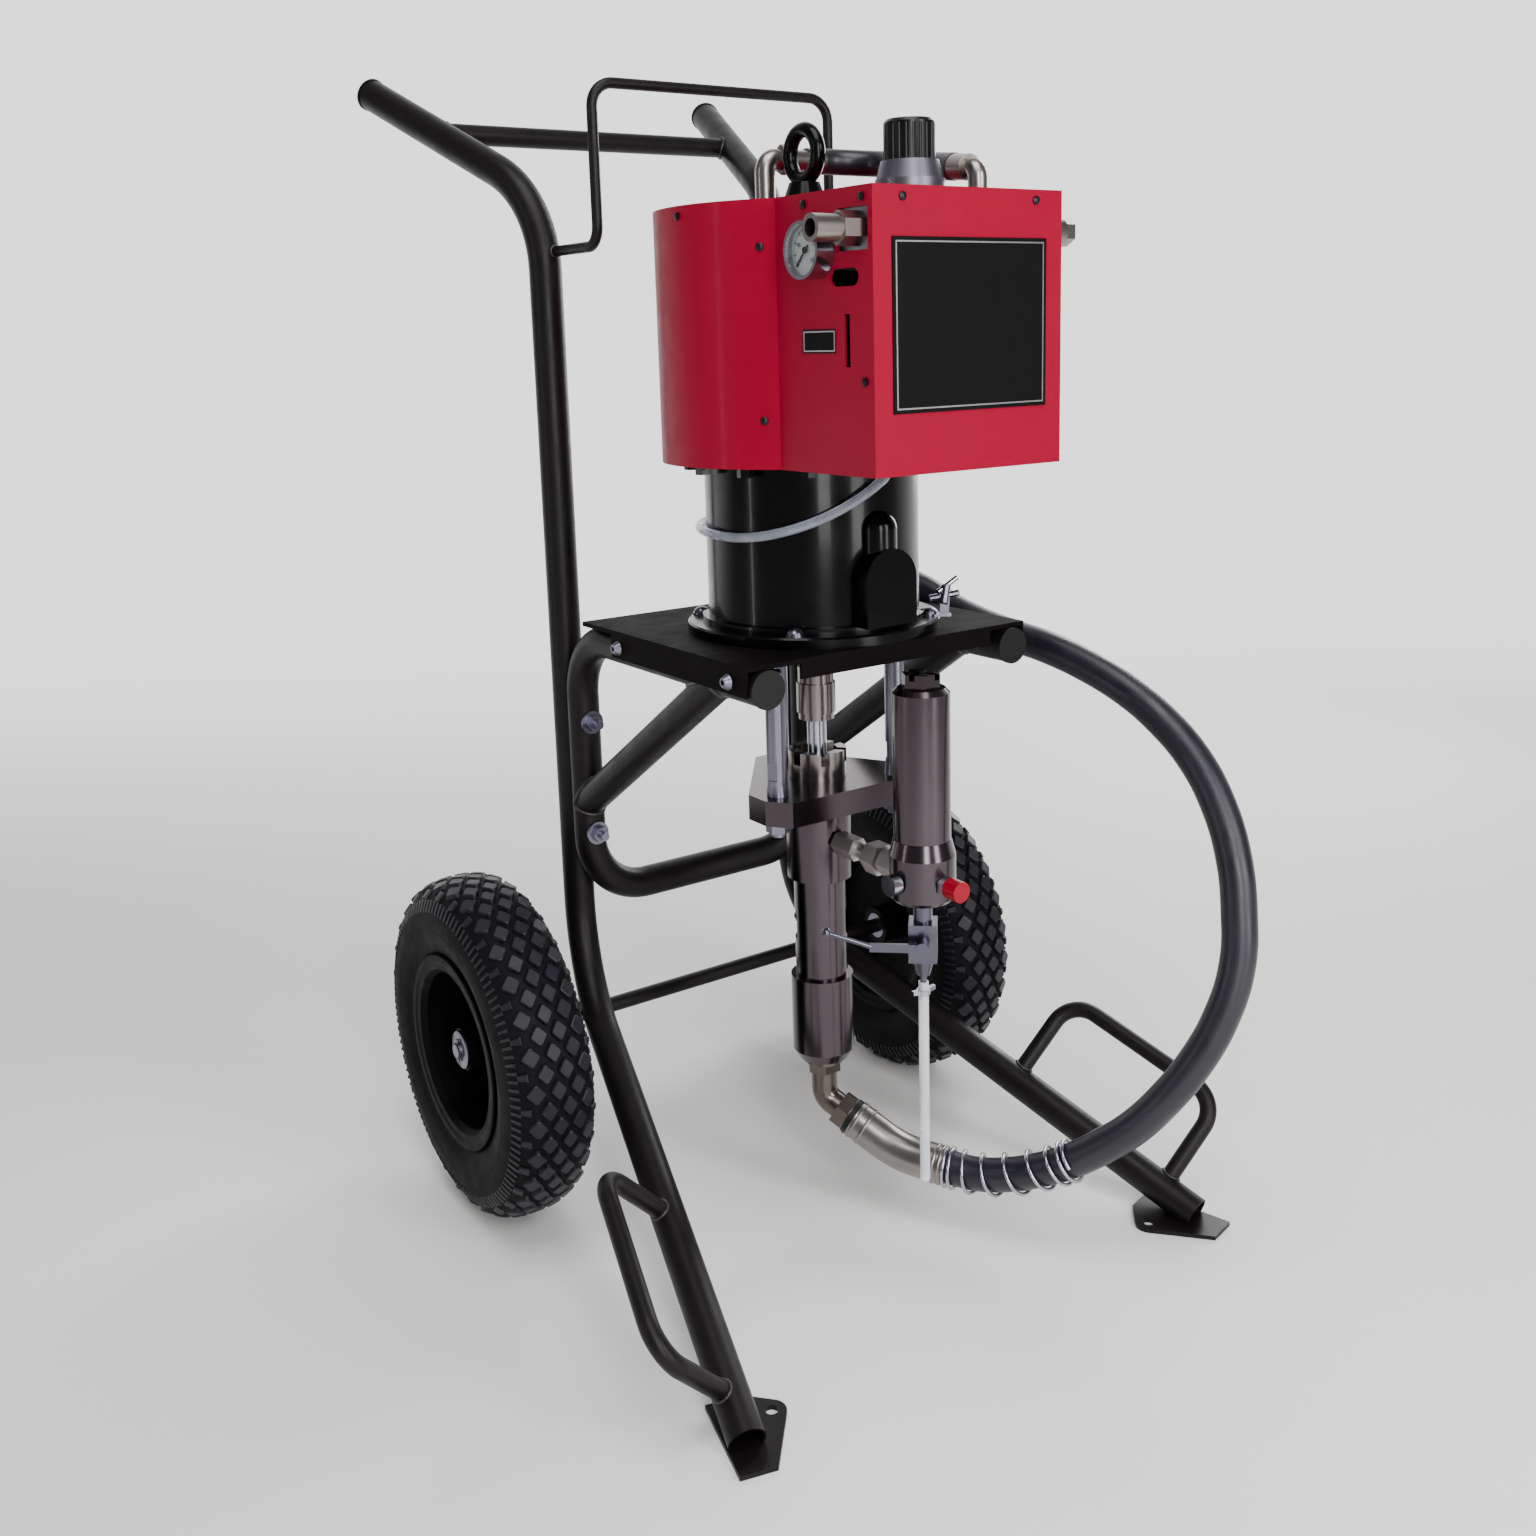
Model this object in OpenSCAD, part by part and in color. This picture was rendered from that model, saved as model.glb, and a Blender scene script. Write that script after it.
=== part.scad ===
// Air-driven airless paint sprayer on a two-wheeled cart.
// Millimetres. The front (pump, feet) faces -Y, the handles point to +Y, +Z is up.
// Modules are drawn with Y = 0 at the wheel axle; on_floor() moves them to the middle of the cart.

/* [Frame tubes] */
// Outer diameter of the frame and carrier tubes
frame_tube_d = 38; // [34:1:42]
// Wall of the frame and carrier tubes
frame_tube_wall = 2; // [1.5:0.5:3]
// Half the distance between the two uprights
upright_x = 163; // [158:1:172]
// Distance of the uprights behind the axle
upright_back = 35; // [33:1:42]
// Height where the handle line and the upright meet
knee_z = 1186; // [1170:2:1210]
// Height where the leg line and the upright meet
heel_z = 239; // [236:1:246]
// Bend radius at the top of each upright
knee_bend_r = 130; // [110:5:150]
// Bend radius at the foot of each upright
heel_bend_r = 150; // [145:1:155]
// How far the handles run back from the uprights
handle_reach = 286; // [240:2:320]
// How far each handle spreads sideways
handle_spread = 83; // [60:1:100]
// How far the handles rise from the knee
handle_rise = 145; // [120:1:170]
// How far the legs run forward from the uprights to the floor line
leg_reach = 537; // [520:1:560]
// How far each leg spreads sideways
leg_spread = 138; // [120:1:150]
// Height above the floor of the end of each leg tube
leg_end_z = 11.5; // [11:0.1:13]

/* [Frame details] */
// Outer diameter of the bar between the handles
crossbar_d = 25; // [20:1:28]
// Place of that bar along the handles, from the knee
crossbar_at = 0.61; // [0.5:0.01:0.75]
// Diameter of the hose hanger rod
hanger_d = 12; // [8:1:14]
// Height of the top of the hose hanger
hanger_z = 1296; // [1260:2:1330]
// Height where the hose hanger leaves the uprights
hanger_foot_z = 1125; // [1090:2:1140]
// How far the hose hanger stands in front of the uprights
hanger_reach = 121; // [115:1:125]
// Outer diameter of the leg hoops
hoop_d = 20; // [16:1:24]
// How far the leg hoops stand off the leg axis
hoop_offset = 123; // [100:1:130]
// Thickness of the foot plates
foot_t = 5; // [4:1:8]
// Diameter of the bolt hole in each foot plate
foot_hole_d = 13; // [9:0.5:16]
// Nominal diameter of the frame bolts
bolt_d = 10; // [8:1:12]

/* [Wheels] */
// Outer radius of the tyres
tyre_r = 203; // [200:1:206]
// Width of the tyres
tyre_w = 105; // [95:1:112]
// Bead seat radius of the rims
rim_r = 101; // [96:1:106]
// Distance of each wheel's middle plane from the middle of the cart
wheel_x = 312; // [308:1:325]
// Length of the wheel hubs
hub_l = 66; // [60:1:72]
// Diameter of the axle
axle_d = 19; // [16:0.5:20]
// Radial running clearance of the wheel bearings on the axle
axle_clearance = 0.05; // [0.03:0.01:0.1]

/* [Carrier] */
// Height of the carrier rails' axis
rail_z = 682; // [678:1:690]
// Height of the axis of the carrier's lower cross tube
lower_bar_z = 355; // [350:1:357]
// How far the rails reach in front of the axle
rail_front = 397; // [392:1:405]
// Bend radius of the carrier tube
carrier_bend_r = 75; // [65:1:80]
// Thickness of the platform plate
platform_t = 5; // [4:0.5:6]
// Height of the platform's side flanges
flange_h = 31; // [28:1:36]
// Radius of the hole in the platform under the motor
platform_hole_r = 104; // [100:1:108]

/* [Air motor] */
// Distance of the motor and pump axis in front of the axle
motor_y = 254; // [252:0.5:256]
// Outer radius of the motor cylinder
motor_r = 116.5; // [112:0.5:118]
// Wall of the motor cylinder
motor_wall = 6; // [5:0.5:8]
// Radius of the motor's base flange
base_r = 140; // [137:1:144]
// Height of the lower edge of the shroud
shroud_z0 = 893; // [888:1:897]
// Height of the shroud
shroud_h = 260; // [254:1:266]
// Outer radius of the curved part of the shroud
shroud_r = 161; // [158:0.5:164]
// Half width of the shroud's square front
shroud_half_w = 116.5; // [114:0.5:118]
// Distance of the shroud's front face in front of the motor axis
shroud_front_y = 261; // [257:1:266]
// Thickness of the shroud's sheet
sheet_t = 2; // [1.5:0.25:2.5]
// Upward travel of the pump rod from rest
stroke_up = 42; // [30:1:42]
// Downward travel of the pump rod from rest
stroke_down = 30; // [10:1:31]

/* [Fluid pump] */
// Diameter of the pump rod
pump_rod_d = 22; // [18:1:24]
// Radius of the bore of both pump cylinders
pump_bore_r = 20; // [18:0.5:21]
// Outer radius of the upper cylinder
upper_r = 37; // [34:0.5:39]
// Outer radius of the lower cylinder
lower_r = 30; // [27:0.5:32]
// Outer radius of the foot valve housing
foot_valve_r = 36; // [34:0.5:38]
// Top face of the yoke plate
yoke_z = 533; // [530:1:536]
// Thickness of the yoke plate
yoke_t = 28; // [24:1:30]
// Diameter of the tie rods
tie_rod_d = 22; // [18:1:24]
// Radius of the circle that the tie rods stand on
tie_rod_r = 88; // [86:0.5:90]

/* [Filter and hoses] */
// Distance of the filter axis in front of the motor axis
filter_y = 183; // [178:1:188]
// Outer radius of the filter bowl
bowl_r = 30; // [27:0.5:32]
// Radius of the filter base
filter_base_r = 35; // [33:0.5:37]
// Outer diameter of the suction hose
hose_d = 38; // [35:0.5:38.5]
// Wire diameter of the spring guard on the suction hose
spring_wire_d = 3.5; // [2.5:0.25:4]
// Turns of the spring guard
spring_turns = 8.5; // [6:0.5:9]
// Outer diameter of the air hose above the shroud
air_hose_d = 28; // [22:1:29]
// Outer diameter of the drain tube
drain_tube_d = 13; // [10:0.5:15]
// Outer diameter of the clear tube round the motor
pilot_tube_d = 10; // [6:0.5:10]

/* [Gauge and regulator] */
// Diameter of the pressure gauge
gauge_d = 53; // [48:1:56]
// Depth of the gauge case
gauge_depth = 21; // [18:0.5:24]
// Radius of the regulator knob
knob_r = 26; // [22:0.5:28]
// Height of the regulator knob
knob_h = 39; // [34:1:44]

/* [Hidden] */
$fn = 48;
seat = 0.3;                     // gap between pieces that lie against each other
weld = 0.05;                    // gap at a weld line
joint_gap = 0.3;                // gap between pieces that move past each other
tube_bore = frame_tube_d - 2 * frame_tube_wall;
tube_r = frame_tube_d / 2;

// Side tubes: handle end, knee, heel, and the direction of the leg
function handle_end(s) = [s * (upright_x + handle_spread), upright_back + handle_reach, knee_z + handle_rise];
function knee(s) = [s * upright_x, upright_back, knee_z];
function heel(s) = [s * upright_x, upright_back, heel_z];
function leg_dir(s) = unit([s * leg_spread, -leg_reach, -209]);
leg_length = (leg_end_z - heel_z) / leg_dir(1)[2];
function leg_point(s, t) = heel(s) + t * leg_dir(s);
function handle_dir(s) = unit(handle_end(s) - knee(s));
function handle_point(s, k) = knee(s) + k * (handle_end(s) - knee(s));

// Foot plates
foot_front_t = leg_length + 35;     // place of the plate's front edge along the leg line
foot_length = 104;
foot_ear = [39, 73];                // bolt hole: inboard of the leg line, back from the front edge
foot_ear_r = 15;
leg_turn = atan(leg_spread / leg_reach);

// The cart's middle, front to back, from the foot plates and the handle ends
plug_lip = 3;
plug_d = frame_tube_d + 2;
foot_corner_y = leg_point(1, foot_front_t)[1] - tube_r * sin(leg_turn);
handle_back_y = handle_end(1)[1] + plug_lip * handle_dir(1)[1] + plug_d / 2 * sqrt(1 - pow(handle_dir(1)[1], 2));
middle_y = (foot_corner_y + handle_back_y) / 2;

// Carrier
carrier_y = upright_back - frame_tube_d - seat;
bolt_z = [577, 439];
platform_z = rail_z + tube_r + seat;
platform_top = platform_z + platform_t;
platform_back = -55;
platform_bolt_y = [-136, -360];
side_bolt_z = rail_z + 5;

// Motor
base_z = platform_top + weld;
base_t = 12;
base_top = base_z + 18;
axis_xy = [0, -motor_y, 0];
shroud_top = shroud_z0 + shroud_h;
cylinder_top = shroud_z0 - 2;
piston_h = 28;
piston_z = base_top + stroke_down + 3;
head_t = 12;
head_top = shroud_top - 14;
manifold_z = [shroud_top - 68, shroud_top - 18];
manifold_y = [-shroud_front_y + sheet_t + 6, -112];
port_y = -236;                      // axis of the air inlet, from the motor axis
port_z = shroud_top - 37;

// Pump
nut_z = [yoke_z + 3, yoke_z + 32];
step_z = 415;
foot_valve_z = [192, 295];
coupling_z = [600, 660];
tie_angles = [-156, -36, 84];

// Filter
base_bolt_r = base_r - 12;           // bolt circle of the motor's base flange
filter_at = [0, -motor_y - filter_y, 0];
outlet_z = 463;
base_bottom = 439;
base_bevel = 489;
bowl_bottom = 506;
bowl_top = 667;
valve_z = [372, 414];
valve_w = 30;
valve_turn = -132;                  // direction that the drain valve's stem points in
outlet_turn = -90;                  // direction that the filter's capped outlet points in

// Suction side: everything from the elbow to the hose lies in a turned upright plane
suction_turn = 30;
function suction(s, z) = [s * sin(suction_turn), -motor_y - s * cos(suction_turn), z];
elbow_z = 139;
elbow_drop = 30;
union_reach = 36;                   // from the elbow's corner to the end of its swivel nut
elbow_dir = [cos(elbow_drop) * sin(suction_turn), -cos(elbow_drop) * cos(suction_turn), -sin(elbow_drop)];
sleeve_path = [suction(38, 117), suction(92, 86), suction(150, 80)];

// Route of the free hose, from the sleeve to the fitting behind the motor
hose_route = [
    suction(150.5, 80), suction(190, 79), suction(227, 87), suction(263, 101), suction(298, 120),
    suction(332, 145), suction(364, 173), [199, -596, 211], [221, -618, 256], [244, -632, 307],
    [262, -636, 362], [272, -628, 417], [281, -611, 472], [286, -585, 521], [288, -550, 563],
    [284, -508, 598], [279, -462, 624], [267, -413, 646], [253, -364, 662], [243, -313, 671],
    [232, -271, 681], [222, -229, 695], [210, -190, 714], [188, -158, 726], [140, -114, 726],
    [92, -92, 726], [46, -88, 726]
];
spring_spans = 5;                   // the spring guard lies on this many spans of the route
hose_sides = 12;

// Air hose above the shroud
ferrule_l = 26;
elbow2_at = [94, -motor_y - 166, 0];
function elbow2_top() = [elbow2_at[0], elbow2_at[1], 1183];
air_hose_corner = [124, -200, 1210];
air_hose_path = [[62, -200, 1210], air_hose_corner,
    elbow2_top() - (ferrule_l + 15) * unit(elbow2_top() - air_hose_corner)];

// ---------------------------------------------------------------- helpers

function unit(v) = v / norm(v);
function angle_between(a, b) = acos(max(-1, min(1, unit(a) * unit(b))));
function polar(r, a) = [r * cos(a), r * sin(a), 0];

module on_floor() {
    translate([0, -middle_y, 0]) children();
}

// Turns +Z to point along a direction
module aim(dir) {
    rotate([0, acos(dir[2] / norm(dir)), atan2(dir[1], dir[0])]) children();
}

module both_sides() {
    children();
    mirror([1, 0, 0]) children();
}

module ring(d, bore) {
    difference() {
        circle(d = d);
        if (bore > 0) {
            circle(d = bore);
        }
    }
}

module straight(a, b, d, bore = 0) {
    translate(a) aim(b - a) {
        if (bore > 0) {
            pipe(d / 2, bore / 2, norm(b - a));
        } else {
            cylinder(d = d, h = norm(b - a));
        }
    }
}

// One bend round a corner at the origin; its ends run a hair into the straight lengths
module bend(into, out, r, d) {
    turn = angle_between(into, out);
    side = unit(out - into * (out * into));
    centre = side * r - into * r * tan(turn / 2);
    normal = cross(-side, into);
    lap = 23 / r;
    multmatrix([
        [-side[0], into[0], normal[0], centre[0]],
        [-side[1], into[1], normal[1], centre[1]],
        [-side[2], into[2], normal[2], centre[2]],
        [0, 0, 0, 1]
    ]) rotate([0, 0, -lap]) rotate_extrude(angle = turn + 2 * lap) translate([r, 0]) circle(d = d);
}

// A solid bar that follows straight lines between points, with a bend radius at each inner point
module bar(points, radii, d, over = 0, step = 0.04) {
    last = len(points) - 1;
    dirs = [for (i = [0:last - 1]) unit(points[i + 1] - points[i])];
    trims = [for (i = [0:last]) i == 0 || i == last ? -over
        : radii[i] * tan(angle_between(dirs[i - 1], dirs[i]) / 2)];
    for (i = [0:last - 1]) {
        translate(points[i]) translate(dirs[i] * trims[i]) aim(dirs[i])
            cylinder(d = d, h = norm(points[i + 1] - points[i]) - trims[i] - trims[i + 1]);
    }
    for (i = [1:1:last - 1]) {
        translate(points[i]) bend(dirs[i - 1], dirs[i], radii[i], d - step);
    }
}

module tube(points, radii, d, bore = 0, step = 0.04) {
    if (bore > 0) {
        difference() {
            bar(points, radii, d, 0, step);
            bar(points, radii, bore, 1, max(0.2, 2 * step));
        }
    } else {
        bar(points, radii, d);
    }
}

module hexagon(across, h) {
    cylinder(d = across / cos(30), h = h, $fn = 6);
}

module pipe(r, bore, h) {
    difference() {
        cylinder(r = r, h = h);
        translate([0, 0, -1]) cylinder(r = bore, h = h + 2);
    }
}

// Swept tube with flat sides: one ring of points for each point of the route
function route_dir(p, i) = unit(p[min(i + 1, len(p) - 1)] - p[max(i - 1, 0)]);
function carry(v, d) = unit(v - d * (v * d));
function sweep_frames(p, v) = [for (i = 0, f = carry(v, route_dir(p, 0)); i < len(p);
    i = i + 1, f = i < len(p) ? carry(f, route_dir(p, i)) : f) f];
function sweep_points(p, d, sides, frames) = [for (i = [0:len(p) - 1], k = [0:sides - 1])
    p[i] + d / 2 * (cos(360 * k / sides) * frames[i]
        + sin(360 * k / sides) * cross(route_dir(p, i), frames[i]))];
function sweep_faces(n, sides) = concat(
    [for (i = [0:n - 2], k = [0:sides - 1])
        [i * sides + k, (i + 1) * sides + k, i * sides + (k + 1) % sides]],
    [for (i = [0:n - 2], k = [0:sides - 1])
        [i * sides + (k + 1) % sides, (i + 1) * sides + k, (i + 1) * sides + (k + 1) % sides]],
    [for (k = [1:sides - 2]) [0, k, k + 1]],
    [for (k = [1:sides - 2]) [(n - 1) * sides, (n - 1) * sides + k + 1, (n - 1) * sides + k]]);

module sweep(p, d, sides, up = [0, 0, 1]) {
    polyhedron(sweep_points(p, d, sides, sweep_frames(p, up)), sweep_faces(len(p), sides));
}

// ---------------------------------------------------------------- frame

module side_tube(s, bore) {
    tube([handle_end(s), knee(s), heel(s), leg_point(s, leg_length)],
        [0, knee_bend_r, heel_bend_r, 0], frame_tube_d, bore);
}

module frame_bolt_holes() {
    for (s = [-1, 1], z = bolt_z) {
        translate([s * upright_x, carrier_y - 40, z]) rotate([-90, 0, 0]) cylinder(d = bolt_d + 0.5, h = 120);
    }
}

module frame_tube(s) {
    color("#2a2426") difference() {
        side_tube(s, tube_bore);
        frame_bolt_holes();
        // the leg's end is trimmed flat where it stands on its foot plate
        translate([s * 300 - 100, -700, -100 + foot_t + weld]) cube([200, 300, 100]);
    }
}

module left_frame_tube() {
    frame_tube(-1);
}

module right_frame_tube() {
    frame_tube(1);
}

module handle_crossbar() {
    a = handle_point(-1, crossbar_at);
    b = handle_point(1, crossbar_at);
    color("#2a2426") difference() {
        straight(a, b, crossbar_d, crossbar_d - 3);
        for (s = [-1, 1]) {
            straight(handle_point(s, 0.4), handle_point(s, 0.9), frame_tube_d + 2 * weld);
        }
    }
}

module hose_hanger() {
    x = upright_x - 5;
    y = upright_back - hanger_reach;
    foot = [x, upright_back, hanger_foot_z];
    color("#2a2426") difference() {
        tube([[-x, foot[1], foot[2]], [-x, y, foot[2]], [-x, y, hanger_z],
            [x, y, hanger_z], [x, y, foot[2]], foot], [0, 22, 26, 26, 22, 0], hanger_d);
        for (s = [-1, 1]) {
            translate([s * upright_x, upright_back, hanger_foot_z - 60])
                cylinder(d = frame_tube_d + 2 * weld, h = 110);
        }
    }
}

// Plastic plug: a lip on the tube's end and a stem inside it
module plug() {
    translate([0, 0, weld]) cylinder(d = plug_d, h = plug_lip - weld);
    translate([0, 0, -14]) cylinder(d = tube_bore - 2 * weld, h = 14 + weld);
}

module tube_plugs() {
    color("#17161a") for (s = [-1, 1]) {
        translate(handle_end(s)) aim(handle_dir(s)) plug();
        translate([s * upright_x, -rail_front, rail_z]) rotate([90, 0, 0]) plug();
    }
}

module carrier_tube(bore) {
    x = upright_x;
    tube([[-x, -rail_front, rail_z], [-x, carrier_y, rail_z], [-x, carrier_y, lower_bar_z],
        [x, carrier_y, lower_bar_z], [x, carrier_y, rail_z], [x, -rail_front, rail_z]],
        [0, carrier_bend_r, carrier_bend_r, carrier_bend_r, carrier_bend_r, 0], frame_tube_d, bore, 0.2);
}

// Diagonal strut from the carrier's upright part to its rail
module strut(s) {
    low = [s * upright_x, carrier_y, lower_bar_z + 118];
    high = [s * upright_x, carrier_y - 315, rail_z];
    difference() {
        straight(low, high, frame_tube_d, tube_bore);
        translate([s * upright_x, carrier_y, lower_bar_z + 60]) cylinder(d = frame_tube_d + 2 * weld, h = 160);
        translate([s * upright_x, -rail_front, rail_z]) rotate([-90, 0, 0])
            cylinder(d = frame_tube_d + 2 * weld, h = rail_front + carrier_y - 60);
    }
}

module carrier_frame() {
    color("#2a2426") difference() {
        carrier_tube(tube_bore);
        frame_bolt_holes();
        platform_bolt_holes();
    }
    color("#2a2426") for (s = [-1, 1]) {
        strut(s);
    }
}

module platform_bolt_holes() {
    for (s = [-1, 1], y = platform_bolt_y) {
        translate([s * (upright_x - 30), y, side_bolt_z]) rotate([0, s * 90, 0])
            cylinder(d = bolt_d + 0.5, h = 70);
    }
}

module platform_plate() {
    half = upright_x + tube_r + seat + platform_t * 0.6;
    flange_t = platform_t * 0.6;
    front = rail_front - 4;
    color("#2a2426") difference() {
        union() {
            translate([-half, -front, platform_z]) cube([2 * half, front + platform_back, platform_t]);
            for (s = [-1, 1]) {
                translate([s > 0 ? half - flange_t : -half, -front, platform_top - flange_h])
                    cube([flange_t, front - 122, flange_h]);
            }
            translate([-upright_x + tube_r + 26, -front, platform_top - 21])
                cube([2 * upright_x - frame_tube_d - 34, flange_t, 21]);
        }
        translate([0, -motor_y, platform_z - 1]) cylinder(r = platform_hole_r, h = platform_t + 2);
        base_bolt_holes(platform_z - 1, platform_t + 2);
        platform_bolt_holes();
    }
}

module base_bolt_holes(z, h) {
    for (a = [45:90:315]) {
        translate(axis_xy + polar(base_bolt_r, a) + [0, 0, z]) cylinder(d = bolt_d + 0.5, h = h);
    }
}

// Bolt along +Z from its head's seat: round head below, nut and washer at the far end
module bolt(length, washer_d) {
    difference() {
        translate([0, 0, -6]) cylinder(d1 = bolt_d, d2 = 1.7 * bolt_d, h = 6);
        translate([0, 0, -7]) hexagon(0.55 * bolt_d, 4);
    }
    cylinder(d = bolt_d, h = length + 21);
    translate([0, 0, length]) pipe(washer_d / 2, bolt_d / 2 + weld, 2.5);
    translate([0, 0, length + 2.6]) difference() {
        hexagon(1.7 * bolt_d, 8.5);
        translate([0, 0, -1]) cylinder(r = bolt_d / 2 + weld, h = 11);
    }
}

// Short domed bolt for the motor's flange, along +Z from under the platform
module dome_bolt(length) {
    cylinder(d = bolt_d, h = length);
    translate([0, 0, length + weld]) cylinder(d = 2 * bolt_d, h = 2);
    translate([0, 0, length + 2 + weld]) intersection() {
        translate([0, 0, -3]) sphere(r = bolt_d);
        cylinder(d = 1.7 * bolt_d, h = bolt_d);
    }
    translate([0, 0, 3]) difference() {
        hexagon(1.7 * bolt_d, 6);
        translate([0, 0, -1]) cylinder(r = bolt_d / 2 + weld, h = 8);
    }
}

module frame_bolts() {
    through = 2 * frame_tube_d + seat;
    under = platform_z - 10;
    color("#c9cad2") for (s = [-1, 1]) {
        for (z = bolt_z) {
            translate([s * upright_x, upright_back + tube_r + weld, z]) rotate([90, 0, 0]) bolt(through + 2 * weld, 28);
        }
        for (y = platform_bolt_y) {
            translate([s * (upright_x + tube_r + platform_t * 0.6 + seat + weld), y, side_bolt_z])
                rotate([0, -s * 90, 0]) bolt(frame_tube_d + platform_t * 0.6 + seat + 3 * weld, 22);
        }
    }
    color("#c9cad2") for (a = [45:90:315]) {
        translate(axis_xy + polar(base_bolt_r, a) + [0, 0, under]) dome_bolt(base_z + base_t - under);
    }
}

module leg_hoops() {
    color("#2a2426") for (s = [-1, 1]) {
        e = leg_dir(s);
        out = unit([-e[1] * s, e[0] * s, 0]);
        up = unit(cross(e, out) * s);
        off = (out * cos(50) + up * sin(50)) * hoop_offset;
        a = leg_point(s, 383);
        b = leg_point(s, 598);
        difference() {
            tube([a, a + off, b + off, b], [0, 36, 36, 0], hoop_d, hoop_d - 3);
            straight(leg_point(s, 330), leg_point(s, leg_length), frame_tube_d + 2 * weld);
        }
    }
}

// Foot plate outline: a strip under the leg with a rounded ear for the floor bolt.
// Local frame: origin at the middle of the front edge, +Y back along the leg.
function tangent(p, c, r, side) =
    let (d = c - p, a = atan2(d[1], d[0]), b = asin(r / norm(d)), l = sqrt(d * d - r * r))
    p + l * [cos(a + side * b), sin(a + side * b)];

module foot_outline() {
    ear = [-foot_ear[0], foot_ear[1]];
    front = [-tube_r, 0];
    back = [-tube_r, foot_length];
    difference() {
        union() {
            polygon([[tube_r, 0], [tube_r, foot_length], back, tangent(back, ear, foot_ear_r, -1),
                ear, tangent(front, ear, foot_ear_r, 1), front]);
            translate(ear) circle(r = foot_ear_r);
        }
        translate(ear) circle(d = foot_hole_d);
    }
}

module foot_plates() {
    p = leg_point(1, foot_front_t);
    color("#2a2426") both_sides() translate([p[0], p[1], 0]) rotate([0, 0, leg_turn])
        linear_extrude(foot_t) foot_outline();
}

// Cross rod with the two lugs that are welded behind the side tubes' bends, and its end clips
module axle() {
    end_x = wheel_x + hub_l / 2 + 9;
    lug_x = upright_x + 9;
    color("#2a2426") straight([-end_x, 0, tyre_r], [end_x, 0, tyre_r], axle_d);
    color("#2a2426") for (s = [-1, 1]) {
        difference() {
            translate([s * lug_x - 5, 0, tyre_r]) rotate([90, 0, 90]) linear_extrude(10) {
                circle(r = 19);
                rotate(39) translate([-15, 0]) square([30, 34]);
            }
            side_tube(s, -1);
            straight([-end_x, 0, tyre_r], [end_x, 0, tyre_r], axle_d + 2 * weld);
        }
    }
    // washer and split pin at each end
    color("#b9bac2") for (s = [-1, 1]) {
        translate([s * (wheel_x + hub_l / 2 + 1.8), 0, tyre_r]) rotate([0, 90, 0])
            translate([0, 0, -1.25]) pipe(22, axle_d / 2 + weld, 2.5);
        difference() {
            translate([s * (wheel_x + hub_l / 2 + 6), 0, tyre_r - 14]) cylinder(d = 3.4, h = 28);
            straight([-end_x, 0, tyre_r], [end_x, 0, tyre_r], axle_d + 2 * weld);
        }
    }
}

// ---------------------------------------------------------------- wheels

lip_r = rim_r + 16;

module tyre_profile() {
    // half the section, mirrored: bead, side wall, shoulder and crown
    w = tyre_w / 2;
    polygon([
        [rim_r + 0.5, -38], [rim_r + 13, -41], [rim_r + 34, -w + 3], [rim_r + 52, -w],
        [rim_r + 72, -w + 4], [tyre_r - 20, -w + 9], [crown_r - 6, -w + 18], [crown_r - 1, -w + 35],
        [crown_r, 0],
        [crown_r - 1, w - 35], [crown_r - 6, w - 18], [tyre_r - 20, w - 9], [rim_r + 72, w - 4],
        [rim_r + 52, w], [rim_r + 34, w - 3], [rim_r + 13, 41], [rim_r + 0.5, 38],
        [rim_r + 0.5, 31], [rim_r + 9, 28], [rim_r + 40, w - 14], [tyre_r - 26, w - 18], [tyre_r - 14, 20],
        [tyre_r - 12, 0],
        [tyre_r - 14, -20], [tyre_r - 26, -w + 18], [rim_r + 40, -w + 14], [rim_r + 9, -28], [rim_r + 0.5, -31]
    ]);
}

// Tread: staggered rows of diamond blocks, [place across the tyre, drop below the crown, tilt]
tread_h = 5;
crown_r = tyre_r - tread_h;
tread_count = 44;
tread_rows = [for (k = [-3:3]) [k * tyre_w * 0.119, [0, 0.7, 3.2, 9.6][abs(k)], sign(k) * [0, 4, 17, 38][abs(k)]]];

module tread() {
    for (k = [0:6], i = [0:tread_count - 1]) {
        row = tread_rows[k];
        rotate([0, 0, (i + (k % 2) / 2) * 360 / tread_count]) translate([crown_r - row[1], 0, row[0]])
            rotate([0, 90 - row[2], 0]) translate([0, 0, -2.5]) linear_extrude(tread_h + 2.4)
                polygon([[8.8, 0], [1.6, 10.6], [-1.6, 10.6], [-8.8, 0], [-1.6, -10.6], [1.6, -10.6]]);
    }
}

module tyre(s) {
    color("#232027") translate([s * wheel_x, 0, tyre_r]) rotate([0, 90, 0]) {
        rotate_extrude($fn = 96) tyre_profile();
        tread();
    }
}

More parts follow.
